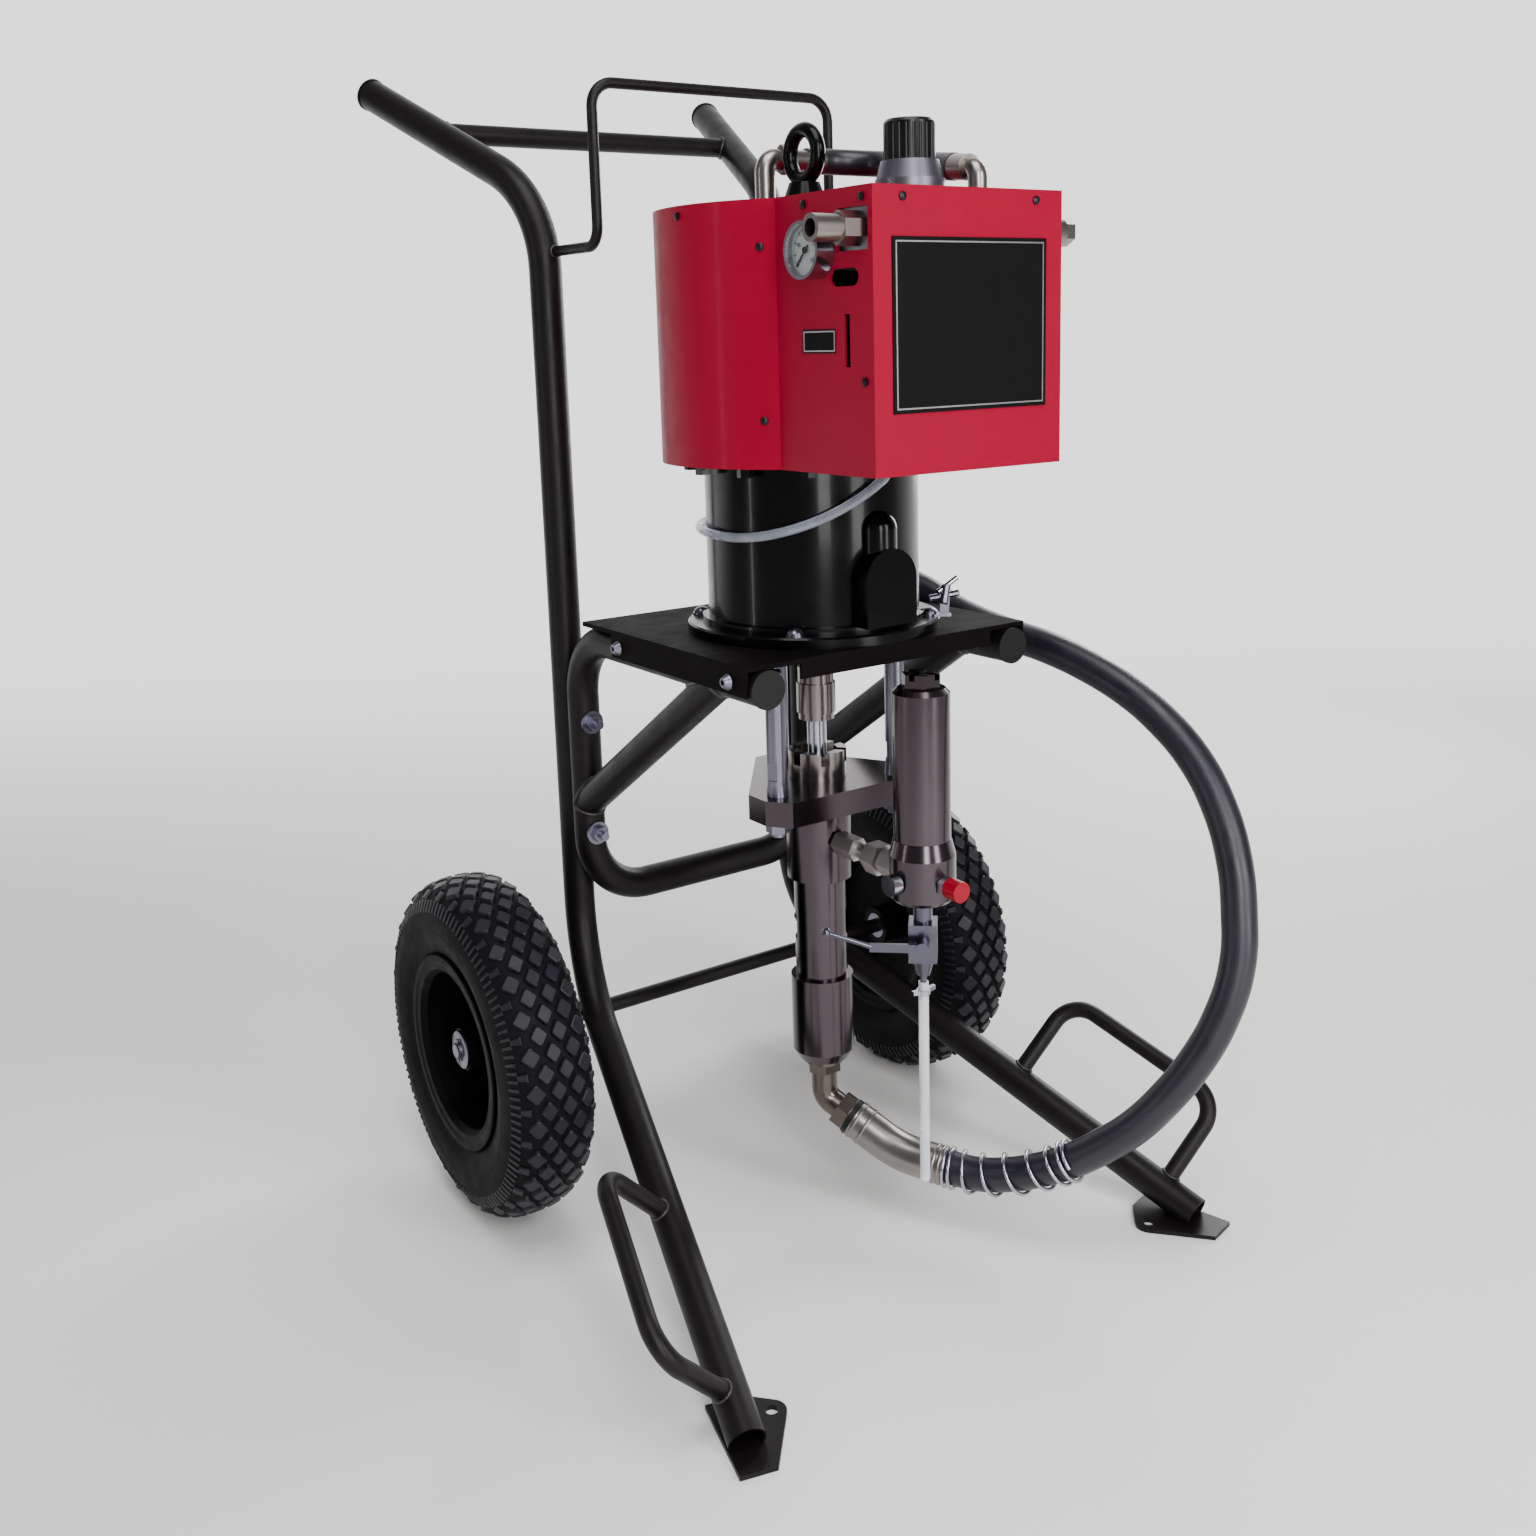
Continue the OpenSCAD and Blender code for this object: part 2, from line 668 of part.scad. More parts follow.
// Rim: barrel with lips, dished disc and hub tube. Local +Z is outboard.
module rim(s) {
    hub = hub_l / 2;
    color("#1b1a1c") translate([s * wheel_x, 0, tyre_r]) rotate([0, s * 90, 0]) {
        rotate_extrude($fn = 96) polygon([
            [17.5, -hub], [25, -hub], [25, -6], [44, -8], [78, -16], [rim_r - 7, -18],
            [rim_r - 7, -38], [rim_r - 2, -45], [rim_r + 8, -47], [lip_r - 1, -48], [lip_r, -46],
            [lip_r - 3, -44], [rim_r + 2, -42], [rim_r + 0.2, -39], [rim_r + 0.2, -29], [rim_r - 4, -24],
            [rim_r - 4, 24], [rim_r + 0.2, 29], [rim_r + 0.2, 39], [rim_r + 2, 42], [lip_r - 3, 44], [lip_r, 46], [lip_r - 1, 48], [rim_r + 8, 47], [rim_r - 2, 45],
            [rim_r - 7, 38], [rim_r - 7, -15], [78, -13], [44, -4], [30, -2], [25, 2], [25, hub],
            [17.5, hub]
        ]);
        // valve stem
        rotate([0, 0, 25]) translate([78, 0, -12]) rotate([0, 22, 0]) cylinder(d = 7, h = 34);
    }
}

// Ball bearings pressed into both ends of a hub
module bearings(s) {
    hub = hub_l / 2;
    color("#a9aab4") translate([s * wheel_x, 0, tyre_r]) rotate([0, 90, 0]) {
        for (z = [-hub + 0.6, hub - 11.6]) {
            translate([0, 0, z]) difference() {
                cylinder(r = 17.5 - 2 * weld, h = 11);
                translate([0, 0, -1]) cylinder(r = axle_d / 2 + axle_clearance, h = 13);
            }
        }
    }
}

module left_tyre() {
    tyre(-1);
}

module left_rim() {
    rim(-1);
}

module left_bearings() {
    bearings(-1);
}

module right_tyre() {
    tyre(1);
}

module right_rim() {
    rim(1);
}

module right_bearings() {
    bearings(1);
}

// ---------------------------------------------------------------- air motor

motor_rod_d = 25;

module motor_base() {
    color("#121114") translate(axis_xy) difference() {
        translate([0, 0, base_z]) rotate_extrude($fn = 96) polygon([
            [motor_rod_d / 2 + axle_clearance, 4], [platform_hole_r - 3, 4], [platform_hole_r - 1, 0], [base_r, 0],
            [base_r, base_t - 2], [base_r - 2, base_t], [motor_r + 7, base_t], [motor_r + 7, 18],
            [motor_r - motor_wall - 1, 18], [motor_r - motor_wall - 1, 14], [motor_rod_d / 2 + axle_clearance, 14]
        ]);
        for (a = [45:90:315]) {
            translate(polar(base_bolt_r, a) + [0, 0, base_z - 1]) cylinder(d = bolt_d + 0.5, h = 30);
            translate(polar(base_bolt_r, a) + [0, 0, base_z + base_t]) cylinder(r = bolt_d + seat, h = 20);
        }
    }
}

module motor_cylinder() {
    color("#0c0b0d") translate(axis_xy + [0, 0, base_top + weld])
        pipe(motor_r, motor_r - motor_wall, cylinder_top - base_top - weld, $fn = 96);
}

// Motor head: bolted flange under the shroud, cover over the air valve, boss for the lifting eye
module motor_head() {
    color("#17161a") translate(axis_xy) {
        difference() {
            union() {
                translate([0, 0, cylinder_top + weld]) cylinder(r = base_r, h = head_t, $fn = 96);
                translate([0, 0, cylinder_top + head_t]) cylinder(r = motor_r, h = 96, $fn = 96);
                translate([0, 0, cylinder_top + head_t + 90]) cylinder(r = 62, h = head_top - cylinder_top - head_t - 90);
                translate([-20, 40, head_top - 60]) cube([30, 40, 60]);
            }
            translate([0, 0, cylinder_top - 1]) cylinder(r = motor_r - motor_wall - 4, h = head_t + 89, $fn = 96);
            translate([0, 0, cylinder_top + head_t + 80]) cylinder(r = 50, h = head_top - cylinder_top - head_t - 124);
            translate([0, 0, head_top - 30]) cylinder(r = 9, h = 40);
        }
        // flange bolts, heads down
        for (i = [0:11]) {
            rotate([0, 0, 30 * i - 7]) translate([base_r - 10, 0, cylinder_top - 9]) hexagon(15, 9);
        }
    }
}

module air_piston() {
    rod_bottom = coupling_z[1] - 22;
    color("#9a9ba2") translate(axis_xy) {
        translate([0, 0, piston_z]) difference() {
            cylinder(r = motor_r - motor_wall - joint_gap, h = piston_h, $fn = 96);
            for (z = [6, 18]) {
                translate([0, 0, z]) pipe(motor_r, motor_r - motor_wall - 3, 4, $fn = 96);
            }
        }
        translate([0, 0, rod_bottom]) cylinder(d = motor_rod_d, h = piston_z - rod_bottom + 1);
    }
}

// Two half shells that hold the motor rod and the pump rod end to end
module rod_coupling() {
    h = coupling_z[1] - coupling_z[0];
    split = coupling_z[1] - 22;
    color("#8c8272") translate(axis_xy) difference() {
        translate([0, 0, coupling_z[0]]) union() {
            cylinder(r = 20, h = h);
            translate([0, 0, 8]) cylinder(r = 22, h = h - 26);
        }
        translate([0, 0, split - weld]) cylinder(r = motor_rod_d / 2 + weld, h = h);
        translate([0, 0, coupling_z[0] - 1]) cylinder(r = pump_rod_d / 2 + weld, h = split - coupling_z[0] + 1 + weld);
        translate([-0.4, -30, coupling_z[0] - 1]) cube([0.8, 60, h + 2]);
    }
}

// Arched air passage on the front of the motor, with the round riser that leads into the cylinder
module transfer_manifold() {
    w = 33;
    arch_z = base_top + 48;
    front_y = -motor_y - motor_r - 22;
    riser_r = 19;
    riser_top = arch_z + w + 38;
    color("#0f0e10") difference() {
        union() {
            translate([0.1 - w, front_y, base_top + weld]) cube([2 * w - 0.2, 34, arch_z - base_top]);
            translate([0, front_y, arch_z]) rotate([-90, 0, 0]) cylinder(r = w, h = 34);
            translate([0, front_y + 21, base_top + 10]) cylinder(r = riser_r, h = riser_top - base_top - 10 - riser_r);
            translate([0, front_y + 21, riser_top - riser_r - 0.4]) sphere(r = riser_r - 0.04);
        }
        translate(axis_xy + [0, 0, base_top - 20]) cylinder(r = motor_r + weld, h = 200, $fn = 96);
    }
}

// Clear tube from under the shroud, round the left side to a fitting at the back
pilot_r = motor_r + pilot_tube_d / 2 + 2;
pilot_steps = 30;
pilot_route = concat([axis_xy + polar(pilot_r, -86) + [0, 0, cylinder_top - seat - 1],
    axis_xy + polar(pilot_r, -86.5) + [0, 0, cylinder_top - 8]],
    [for (i = [0:pilot_steps])
    let (k = i / pilot_steps, a = -88 - 172 * k, rise = pow(max(0, 1 - k / 0.5), 2))
    axis_xy + polar(pilot_r, a) + [0, 0, 813 + 64 * rise + 10 * k]]);

module pilot_tube() {
    color("#8b8fa6") sweep(pilot_route, pilot_tube_d, 10);
    color("#c9cad2") translate(axis_xy + polar(motor_r + weld, -262) + [0, 0, 823]) rotate([0, 90, -262]) {
        hexagon(16, 2 + pilot_tube_d);
    }
}

// ---------------------------------------------------------------- shroud

side_back_y = -sqrt(pow(shroud_r, 2) - pow(shroud_half_w, 2));   // where the flat sides start
screw_d = 8;
tab_t = 1.9;

module shroud_outline(inset) {
    circle(r = shroud_r - inset, $fn = 96);
    translate([-shroud_half_w + inset, -shroud_front_y + inset])
        square([2 * (shroud_half_w - inset), shroud_front_y - inset + side_back_y - weld]);
}

module shroud_wrap() {
    color("#c41e30") difference() {
        translate(axis_xy + [0, 0, shroud_z0]) linear_extrude(shroud_h) difference() {
            ring(2 * shroud_r, 2 * (shroud_r - sheet_t), $fn = 96);
            translate([-200, side_back_y - 200]) square([400, 200]);
        }
        screw_holes();
    }
}

module shroud_front() {
    inner = shroud_r - sheet_t - weld;
    color("#c41e30") translate(axis_xy) difference() {
        union() {
            translate([0, 0, shroud_z0]) linear_extrude(shroud_h) difference() {
                translate([-shroud_half_w, -shroud_front_y])
                    square([2 * shroud_half_w, shroud_front_y + side_back_y - weld]);
                translate([-shroud_half_w + sheet_t, -shroud_front_y + sheet_t])
                    square([2 * (shroud_half_w - sheet_t), shroud_front_y]);
            }
            // inner flanges that the wrap is screwed to, on a tab inside each side panel
            translate([0, 0, shroud_z0]) linear_extrude(shroud_h - 4) {
                both_sides() translate([sheet_t - shroud_half_w - 0.01, side_back_y - 10]) square([tab_t, 9.5]);
                intersection() {
                    circle(r = inner, $fn = 96);
                    union() {
                        difference() {
                            both_sides() translate([-160, side_back_y + 1])
                                square([160 - shroud_half_w + sheet_t + tab_t, 22]);
                            circle(r = inner - sheet_t, $fn = 96);
                        }
                        both_sides() translate([sheet_t - shroud_half_w, side_back_y - 4]) square([tab_t, 10]);
                    }
                }
            }
        }
        for (cut = side_cuts()) {
            translate([-shroud_half_w - 5, cut[0], cut[1]]) cube([10, cut[2], cut[3]]);
        }
        // round ends of the finger slot
        for (y = [-206, -232]) {
            translate([-shroud_half_w - 5, y, shroud_top - 79]) rotate([0, 90, 0]) cylinder(r = 8, h = 10);
        }
        translate([shroud_half_w - 5, port_y, port_z]) rotate([0, 90, 0]) cylinder(r = 17, h = 10);
        translate([-shroud_half_w - 5, gauge_y, gauge_z]) rotate([0, 90, 0]) cylinder(r = 9, h = 10);
        translate(-axis_xy) screw_holes();
    }
}

// Openings in the left panel: [y, z, width, height] for the inlet, the finger slot and the sight slot
function side_cuts() = [
    [port_y - 18, port_z - 19, 44, 38],
    [-232, shroud_top - 87, 26, 16],
    [-226, shroud_top - 160, 8, 48]
];

module shroud_top() {
    color("#a81a2a") translate(axis_xy) difference() {
        translate([0, 0, shroud_top - sheet_t]) linear_extrude(sheet_t) shroud_outline(sheet_t + weld);
        translate([0, 0, shroud_top - 10]) cylinder(r = 30, h = 20);
        translate([-13, 54, shroud_top - 10]) cylinder(r = 15, h = 20);
        translate(regulator_at - axis_xy + [0, 0, shroud_top - 10]) cylinder(r = 38, h = 20);
        translate(elbow2_at - axis_xy + [0, 0, shroud_top - 10]) cylinder(r = 12, h = 20);
    }
    // folded lip that the screws go into
    color("#a81a2a") translate(axis_xy + [0, 0, shroud_top - 18]) linear_extrude(18 - sheet_t - weld) difference() {
        shroud_outline(sheet_t + weld + (sheet_t + 3));
        shroud_outline(2 * sheet_t + 2 * weld + (sheet_t + 3));
    }
}

module screw() {
    intersection() {
        translate([0, 0, -screw_d * 0.35]) sphere(r = screw_d * 0.72);
        cylinder(d = screw_d, h = 4);
    }
    translate([0, 0, -7]) cylinder(d = 4, h = 7.1);
}

// Places of the shroud's screws, +Z pointing out of the sheet
module at_screws() {
    top = shroud_top - 10;
    side = shroud_half_w + weld;
    translate(axis_xy) {
        for (s = [-1, 1]) {
            for (p = [[-158, top], [-246, top], [-248, shroud_top - 173]]) {
                translate([s * side, p[0], p[1]]) rotate([0, s * 90, 0]) children();
            }
            translate([s * 82, -shroud_front_y - weld, top]) rotate([90, 0, 0]) children();
        }
        for (p = [[-178.4, top], [-1.6, top], [90, top], [-142, shroud_top - 45], [-142, shroud_top - 212],
            [-38, shroud_top - 45], [-38, shroud_top - 212]]) {
            translate(polar(shroud_r + weld, p[0]) + [0, 0, p[1]]) rotate([0, 90, p[0]]) children();
        }
    }
}

module screw_holes() {
    at_screws() translate([0, 0, -12]) cylinder(d = 4 + 2 * weld, h = 14);
}

module shroud_screws() {
    color("#3a3c40") at_screws() screw();
}

// Bare name plate on the front and a small bare plate on the left side
module label_plates() {
    color("#35323a") translate(axis_xy + [0, -shroud_front_y - weld, shroud_top - 124])
        rotate([90, 0, 0]) translate([-95, -79]) cube([190, 158, 1.2]);
    color("#8a8a92") translate(axis_xy + [-shroud_half_w - weld, -205, shroud_top - 147])
        rotate([90, 0, -90]) translate([-52, 0]) cube([51, 22, 0.8]);
}

module lifting_eye() {
    z = shroud_top + 56;
    color("#0c0b0d") translate(axis_xy) {
        translate([0, 0, z]) rotate([0, 90, 0]) rotate_extrude() translate([25, 0]) circle(r = 8);
        difference() {
            translate([0, 0, shroud_top + 4]) cylinder(r1 = 25, r2 = 16, h = 24);
            translate([0, 0, z]) rotate([0, 90, 0]) translate([0, 0, -40]) cylinder(r = 18, h = 80);
        }
        translate([0, 0, head_top + weld]) cylinder(r = 20, h = shroud_top + 4 - head_top);
        translate([0, 0, head_top - 26]) cylinder(r = 9 - weld, h = 27);
    }
}

// ---------------------------------------------------------------- air supply

gauge_y = -180;
gauge_z = shroud_top - 53;
regulator_at = [31, -motor_y - 136, 0];

module air_manifold() {
    half = shroud_half_w - sheet_t - 3;
    color("#8f9099") translate(axis_xy) difference() {
        union() {
            translate([-half, manifold_y[0], manifold_z[0]])
                cube([2 * half, manifold_y[1] - manifold_y[0], manifold_z[1] - manifold_z[0]]);
            // neck to the motor's air valve
            translate([-40, manifold_y[1] - 1, manifold_z[0] + 4]) cube([80, 62, 38]);
        }
        translate([0, 0, manifold_z[0] - 10]) cylinder(r = 62 + weld, h = 100);
        translate([-half - 1, port_y, port_z]) rotate([0, 90, 0]) cylinder(r = 8, h = 2 * half + 2);
        translate([31, -136, manifold_z[0] + 20]) cylinder(r = 12, h = 60);
    }
}

// Inlet and plug on the manifold, and the two elbows that the air hose joins
module air_fittings() {
    half = shroud_half_w - sheet_t - 3 + weld;
    a = air_hose_path[0];
    b = air_hose_path[2];
    color("#c9cad2") {
        translate(axis_xy + [0, port_y, port_z]) {
            rotate([0, -90, 0]) difference() {
                union() {
                    translate([0, 0, half]) hexagon(27, 26);
                    translate([0, 0, half + 26]) cylinder(d = 25, h = 29);
                }
                translate([0, 0, half + 20]) cylinder(r = 8, h = 40);
            }
            rotate([0, 90, 0]) translate([0, 0, half]) {
                cylinder(d = 27, h = 26);
                translate([0, 0, 26]) hexagon(24, 11);
            }
        }
        // elbow on the motor head, nut and hose collar
        tube([[-13, -200, head_top + weld], [-13, -200, 1210], [a[0] - 20, -200, 1210]], [0, 14, 0], 22, 14);
        translate([8, -200, 1210]) rotate([0, 90, 0]) difference() {
            hexagon(28, 13);
            translate([0, 0, -1]) cylinder(d = 22 + 2 * weld, h = 16);
        }
        translate([a[0] - 20, a[1], a[2]]) rotate([0, 90, 0]) pipe(13.5, 7, 20 - weld);
        // ferrule and elbow at the manifold
        translate(b) aim(unit(elbow2_top() - b)) pipe(13.2, 7, ferrule_l);
        tube([b + ferrule_l * unit(elbow2_top() - b), elbow2_top(), [elbow2_at[0], elbow2_at[1], manifold_z[1] + weld]],
            [0, 12, 0], 20, 12);
    }
}

module air_hose() {
    p = air_hose_path;
    d = air_hose_d;
    color("#1c1b20") tube([p[0], p[1], p[2] - weld * unit(p[2] - p[1])], [0, 52, 0], d, d - 12);
}

module regulator_body() {
    z0 = manifold_z[1] + weld;
    color("#6f7288") translate(regulator_at) {
        translate([0, 0, z0]) cylinder(r = 22, h = shroud_top + 12 - z0);
        translate([0, 0, shroud_top + 6]) cylinder(r = 35, h = 13);
        translate([0, 0, shroud_top + 19]) cylinder(r1 = 34, r2 = 29, h = 18);
        translate([0, 0, shroud_top + 37]) cylinder(r = 8, h = 12);
    }
}

module regulator_knob() {
    z0 = shroud_top + 37 + joint_gap;
    color("#0c0b0d") translate(regulator_at) difference() {
        union() {
            translate([0, 0, z0]) cylinder(r = knob_r, h = knob_h - 3);
            translate([0, 0, z0 + knob_h - 3]) cylinder(r1 = knob_r, r2 = knob_r - 2.5, h = 3);
        }
        translate([0, 0, z0 - 1]) cylinder(r = 8 + axle_clearance, h = 14);
        for (a = [0:15:345]) {
            rotate([0, 0, a]) translate([knob_r + 1.2, 0, z0 - 1]) cylinder(r = 2, h = knob_h - 4);
        }
    }
}

gauge_face_x = shroud_half_w + weld;

// Gauge axis: children drawn with +Z out of the dial
module at_gauge() {
    translate(axis_xy + [-gauge_face_x, gauge_y, gauge_z]) rotate([0, -90, 0]) children();
}

module gauge_case() {
    r = gauge_d / 2;
    color("#c9cad2") at_gauge() {
        difference() {
            cylinder(r = r, h = gauge_depth);
            translate([0, 0, 12]) cylinder(r = r - 3, h = gauge_depth);
            translate([0, 0, 8]) cylinder(r = 1.5 + axle_clearance, h = 6);
        }
        translate([0, 0, -4.9]) cylinder(r = 7, h = 5);
    }
}

module gauge_needle() {
    color("#16161a") at_gauge() {
        translate([0, 0, 9]) cylinder(r = 1.5, h = 6);
        translate([0, 0, 14]) cylinder(r = 3.2, h = 1.4);
        // the pointer rests at the lower end of the scale
        rotate([0, 0, 135]) translate([-6, -0.8, 14]) cube([gauge_d / 2 - 1, 1.6, 0.8]);
    }
}

module gauge_lens() {
    color([0.8, 0.9, 0.95, 0.4]) at_gauge() translate([0, 0, gauge_depth - 3]) cylinder(r = gauge_d / 2 - 3 - weld, h = 2);
}

// ---------------------------------------------------------------- fluid pump

module yoke_outline() {
    polygon([[-86, -72], [86, -72], [104, -48], [104, -20], [32, 108], [-12, 108], [-104, -14], [-104, -46]]);
}

module yoke_plate() {
    color("#4b3f45") translate(axis_xy) difference() {
        translate([0, 0, yoke_z - yoke_t]) linear_extrude(yoke_t) yoke_outline();
        translate([0, 0, yoke_z - yoke_t - 1]) cylinder(r = lower_r + weld, h = yoke_t + 2);
        for (a = tie_angles) {
            translate(polar(tie_rod_r, a) + [0, 0, yoke_z - yoke_t - 1]) cylinder(r = 8 + weld, h = yoke_t + 2);
        }
    }
}

// Rods between the motor base and the yoke plate, with flats, a neck, and a nut under the plate
module tie_rods() {
    top = base_z + 4 - weld;
    color("#b7b8c4") translate(axis_xy) for (a = tie_angles) {
        translate(polar(tie_rod_r, a)) rotate([0, 0, a]) {
            difference() {
                translate([0, 0, yoke_z + 12]) cylinder(d = tie_rod_d, h = top - yoke_z - 12);
                for (s = [-1, 1]) {
                    translate([s * (tie_rod_d * 0.42 + 10) - 10, -20, yoke_z + 18]) cube([20, 40, 20]);
                }
            }
            translate([0, 0, yoke_z + weld]) cylinder(d1 = 24, d2 = tie_rod_d, h = 12 - weld);
            translate([0, 0, yoke_z - yoke_t - 18]) cylinder(r = 8, h = yoke_t + 19);
            translate([0, 0, yoke_z - yoke_t - 13]) difference() {
                hexagon(24, 13 - weld);
                translate([0, 0, -1]) cylinder(r = 8 + weld, h = 16);
            }
        }
    }
}

// Slotted nut that tightens the upper packings
module packing_nut() {
    color("#5a4e54") translate(axis_xy) difference() {
        union() {
            translate([0, 0, yoke_z + weld]) cylinder(r = 34, h = nut_z[0] - yoke_z);
            translate([0, 0, nut_z[0]]) cylinder(r = 33, h = nut_z[1] - nut_z[0]);
        }
        translate([0, 0, yoke_z - 1]) cylinder(r = lower_r - 4 + weld, h = 16);
        translate([0, 0, yoke_z - 1]) cylinder(r = pump_rod_d / 2 + axle_clearance, h = 60);
        translate([0, 0, nut_z[1] - 8]) cylinder(r = 22, h = 20);
        for (i = [0:5]) {
            rotate([0, 0, 60 * i + 10]) translate([18, -5, nut_z[1] - 14]) cube([20, 10, 20]);
        }
    }
}

module upper_cylinder() {
    neck = yoke_z + 14;
    color("#4b3f45") translate(axis_xy) difference() {
        union() {
            translate([0, 0, step_z]) cylinder(r = upper_r, h = yoke_z - yoke_t - weld - step_z);
            translate([0, 0, step_z + 10]) cylinder(r = lower_r, h = yoke_z - step_z - 10);
            translate([0, 0, yoke_z - 1]) cylinder(r = lower_r - 4, h = neck - yoke_z);
        }
        translate([0, 0, step_z - 1]) cylinder(r = pump_bore_r, h = neck - step_z - 20);
        translate([0, 0, step_z]) cylinder(r = pump_rod_d / 2 + axle_clearance, h = 200);
        translate([0, -upper_r - 1, outlet_z]) rotate([-90, 0, 0]) cylinder(r = 6, h = upper_r);
        translate([0, -upper_r - 1, outlet_z]) rotate([-90, 0, 0]) cylinder(d = 17 + 2 * weld, h = 4);
    }
}

module lower_cylinder() {
    color("#54484e") translate(axis_xy) difference() {
        translate([0, 0, foot_valve_z[1] + weld]) cylinder(r = lower_r, h = step_z - foot_valve_z[1] - 2 * weld);
        translate([0, 0, foot_valve_z[1] - 1]) cylinder(r = pump_bore_r, h = 200);
        for (s = [-1, 1]) {
            rotate([0, 0, -35]) translate([s * (lower_r + 8) - 10, -30, 340]) cube([20, 60, 34]);
        }
    }
}

ball_r = 14;
ball_z = foot_valve_z[0] + 40;

// Foot valve: housing, chamber and ball seat
module foot_valve() {
    z0 = foot_valve_z[0];
    z1 = foot_valve_z[1];
    color("#4b3f45") translate(axis_xy) difference() {
        union() {
            translate([0, 0, z0 + 12]) cylinder(r = foot_valve_r, h = z1 - z0 - 12);
            translate([0, 0, z0]) cylinder(r1 = foot_valve_r - 7, r2 = foot_valve_r, h = 12);
        }
        translate([0, 0, z0 - 1]) cylinder(r = 11, h = 200);
        translate([0, 0, ball_z - 8]) cylinder(r = ball_r + 6, h = 200);
    }
    // cage pin above the ball
    color("#b7b8c4") translate(axis_xy + [0, 0, ball_z + ball_r + 9]) rotate([0, 90, 0])
        translate([0, 0, -ball_r - 6]) cylinder(d = 5, h = 2 * (ball_r + 6));
}

module intake_ball() {
    color("#d0d0d6") translate(axis_xy + [0, 0, ball_z + 1.1]) sphere(r = ball_r);
}

// Pump rod with the pump piston, which holds the travelling ball
module displacement_rod() {
    z0 = foot_valve_z[1] + stroke_down + 4;
    rod_top = coupling_z[1] - 22 - 2 * weld;
    color("#b7b8c4") translate(axis_xy) difference() {
        union() {
            translate([0, 0, z0]) cylinder(r = pump_bore_r - joint_gap, h = 40);
            translate([0, 0, z0 + 39]) cylinder(d = pump_rod_d, h = rod_top - z0 - 39);
        }
        translate([0, 0, z0 - 1]) cylinder(r = 8, h = 14);
        translate([0, 0, z0 + 12]) cylinder(r = 12, h = 22);
        translate([-30, -4, z0 + 24]) cube([60, 8, 8]);
    }
    color("#d0d0d6") translate(axis_xy + [0, 0, z0 + 12 + 5.7]) sphere(r = 9.5);
}

// Hexagon nipple, elbow and swivel union under the foot valve
module inlet_elbow() {
    corner = axis_xy + [0, 0, elbow_z];
    color("#b8a98a") {
        translate(axis_xy + [0, 0, foot_valve_z[0] - 6 - weld]) pipe(23, 10, 6);
        translate(axis_xy + [0, 0, foot_valve_z[0] - 18 - weld]) difference() {
            hexagon(36, 12);
            translate([0, 0, -1]) cylinder(r = 10, h = 14);
        }
        tube([axis_xy + [0, 0, foot_valve_z[0] - 18 - 2 * weld], corner, corner + 30 * elbow_dir], [0, 20, 0], 30, 20);
        translate(corner + (union_reach - 15) * elbow_dir) aim(elbow_dir) difference() {
            hexagon(38, 15);
            translate([0, 0, -1]) cylinder(r = 15 + weld, h = 17);
        }
    }
}

// Steel sleeve crimped on the hose end, and the hose end inside it
module hose_sleeve() {
    p = sleeve_path;
    color("#a6a39c") tube(p, [0, 120, 0], 44, hose_d + 0.6);
    lead = norm(p[0] - axis_xy - [0, 0, elbow_z]) - union_reach - seat;
    color("#a6a39c") translate(p[0] - lead * unit(p[1] - p[0])) aim(p[1] - p[0]) pipe(20.5, 10, lead + 2);
}

// Spring guard: a helix round the first spans of the hose route
spring_r = hose_d / 2 + spring_wire_d / 2 + 1.6;
spring_rings = 8;                   // rings of points for each turn
function along(p, x) = let (i = min(floor(x), len(p) - 2), k = x - i,
    a = p[max(i - 1, 0)], b = p[i], c = p[i + 1], d = p[min(i + 2, len(p) - 1)])
    0.5 * (2 * b + (c - a) * k + (2 * a - 5 * b + 4 * c - d) * k * k + (3 * b - a - 3 * c + d) * k * k * k);
function along_dir(p, x) = unit(along(p, min(x + 0.02, len(p) - 1)) - along(p, max(x - 0.02, 0)));
spring_count = floor(spring_turns * spring_rings);
spring_route = [for (i = [0:spring_count])
    let (x = 0.06 + (spring_spans - 0.1) * i / spring_count, t = along_dir(hose_route, x),
        u = carry([0, 0, 1], t), w = cross(t, u), a = 360 * i / spring_rings)
    along(hose_route, x) + spring_r * (cos(a) * u + sin(a) * w)];
spring_gap = min([for (i = [0:spring_count - spring_rings], k = [-2:2])
    if (i + spring_rings + k <= spring_count)
    norm(spring_route[i] - spring_route[i + spring_rings + k]) - spring_wire_d]);
echo(spring_gap = spring_gap);

module spring_guard() {
    color("#c9cad2") sweep(spring_route, spring_wire_d, 6);
}

module suction_hose() {
    color("#201f26") sweep(hose_route, hose_d, hose_sides);
}

// Steel end fitting of the suction hose, lying on the platform behind the motor
module suction_fitting() {
    end = hose_route[len(hose_route) - 1];
    dir = route_dir(hose_route, len(hose_route) - 1);
    color("#a6a39c") translate(end + weld * dir) aim(dir) {
        difference() {
            union() {
                cylinder(r = 18, h = 22);
                translate([0, 0, 22]) hexagon(30, 14);
                translate([0, 0, 36]) cylinder(r = 12, h = 22);
            }
            translate([0, 0, 10]) cylinder(r = 8, h = 60);
        }
    }
}

// ---------------------------------------------------------------- filter

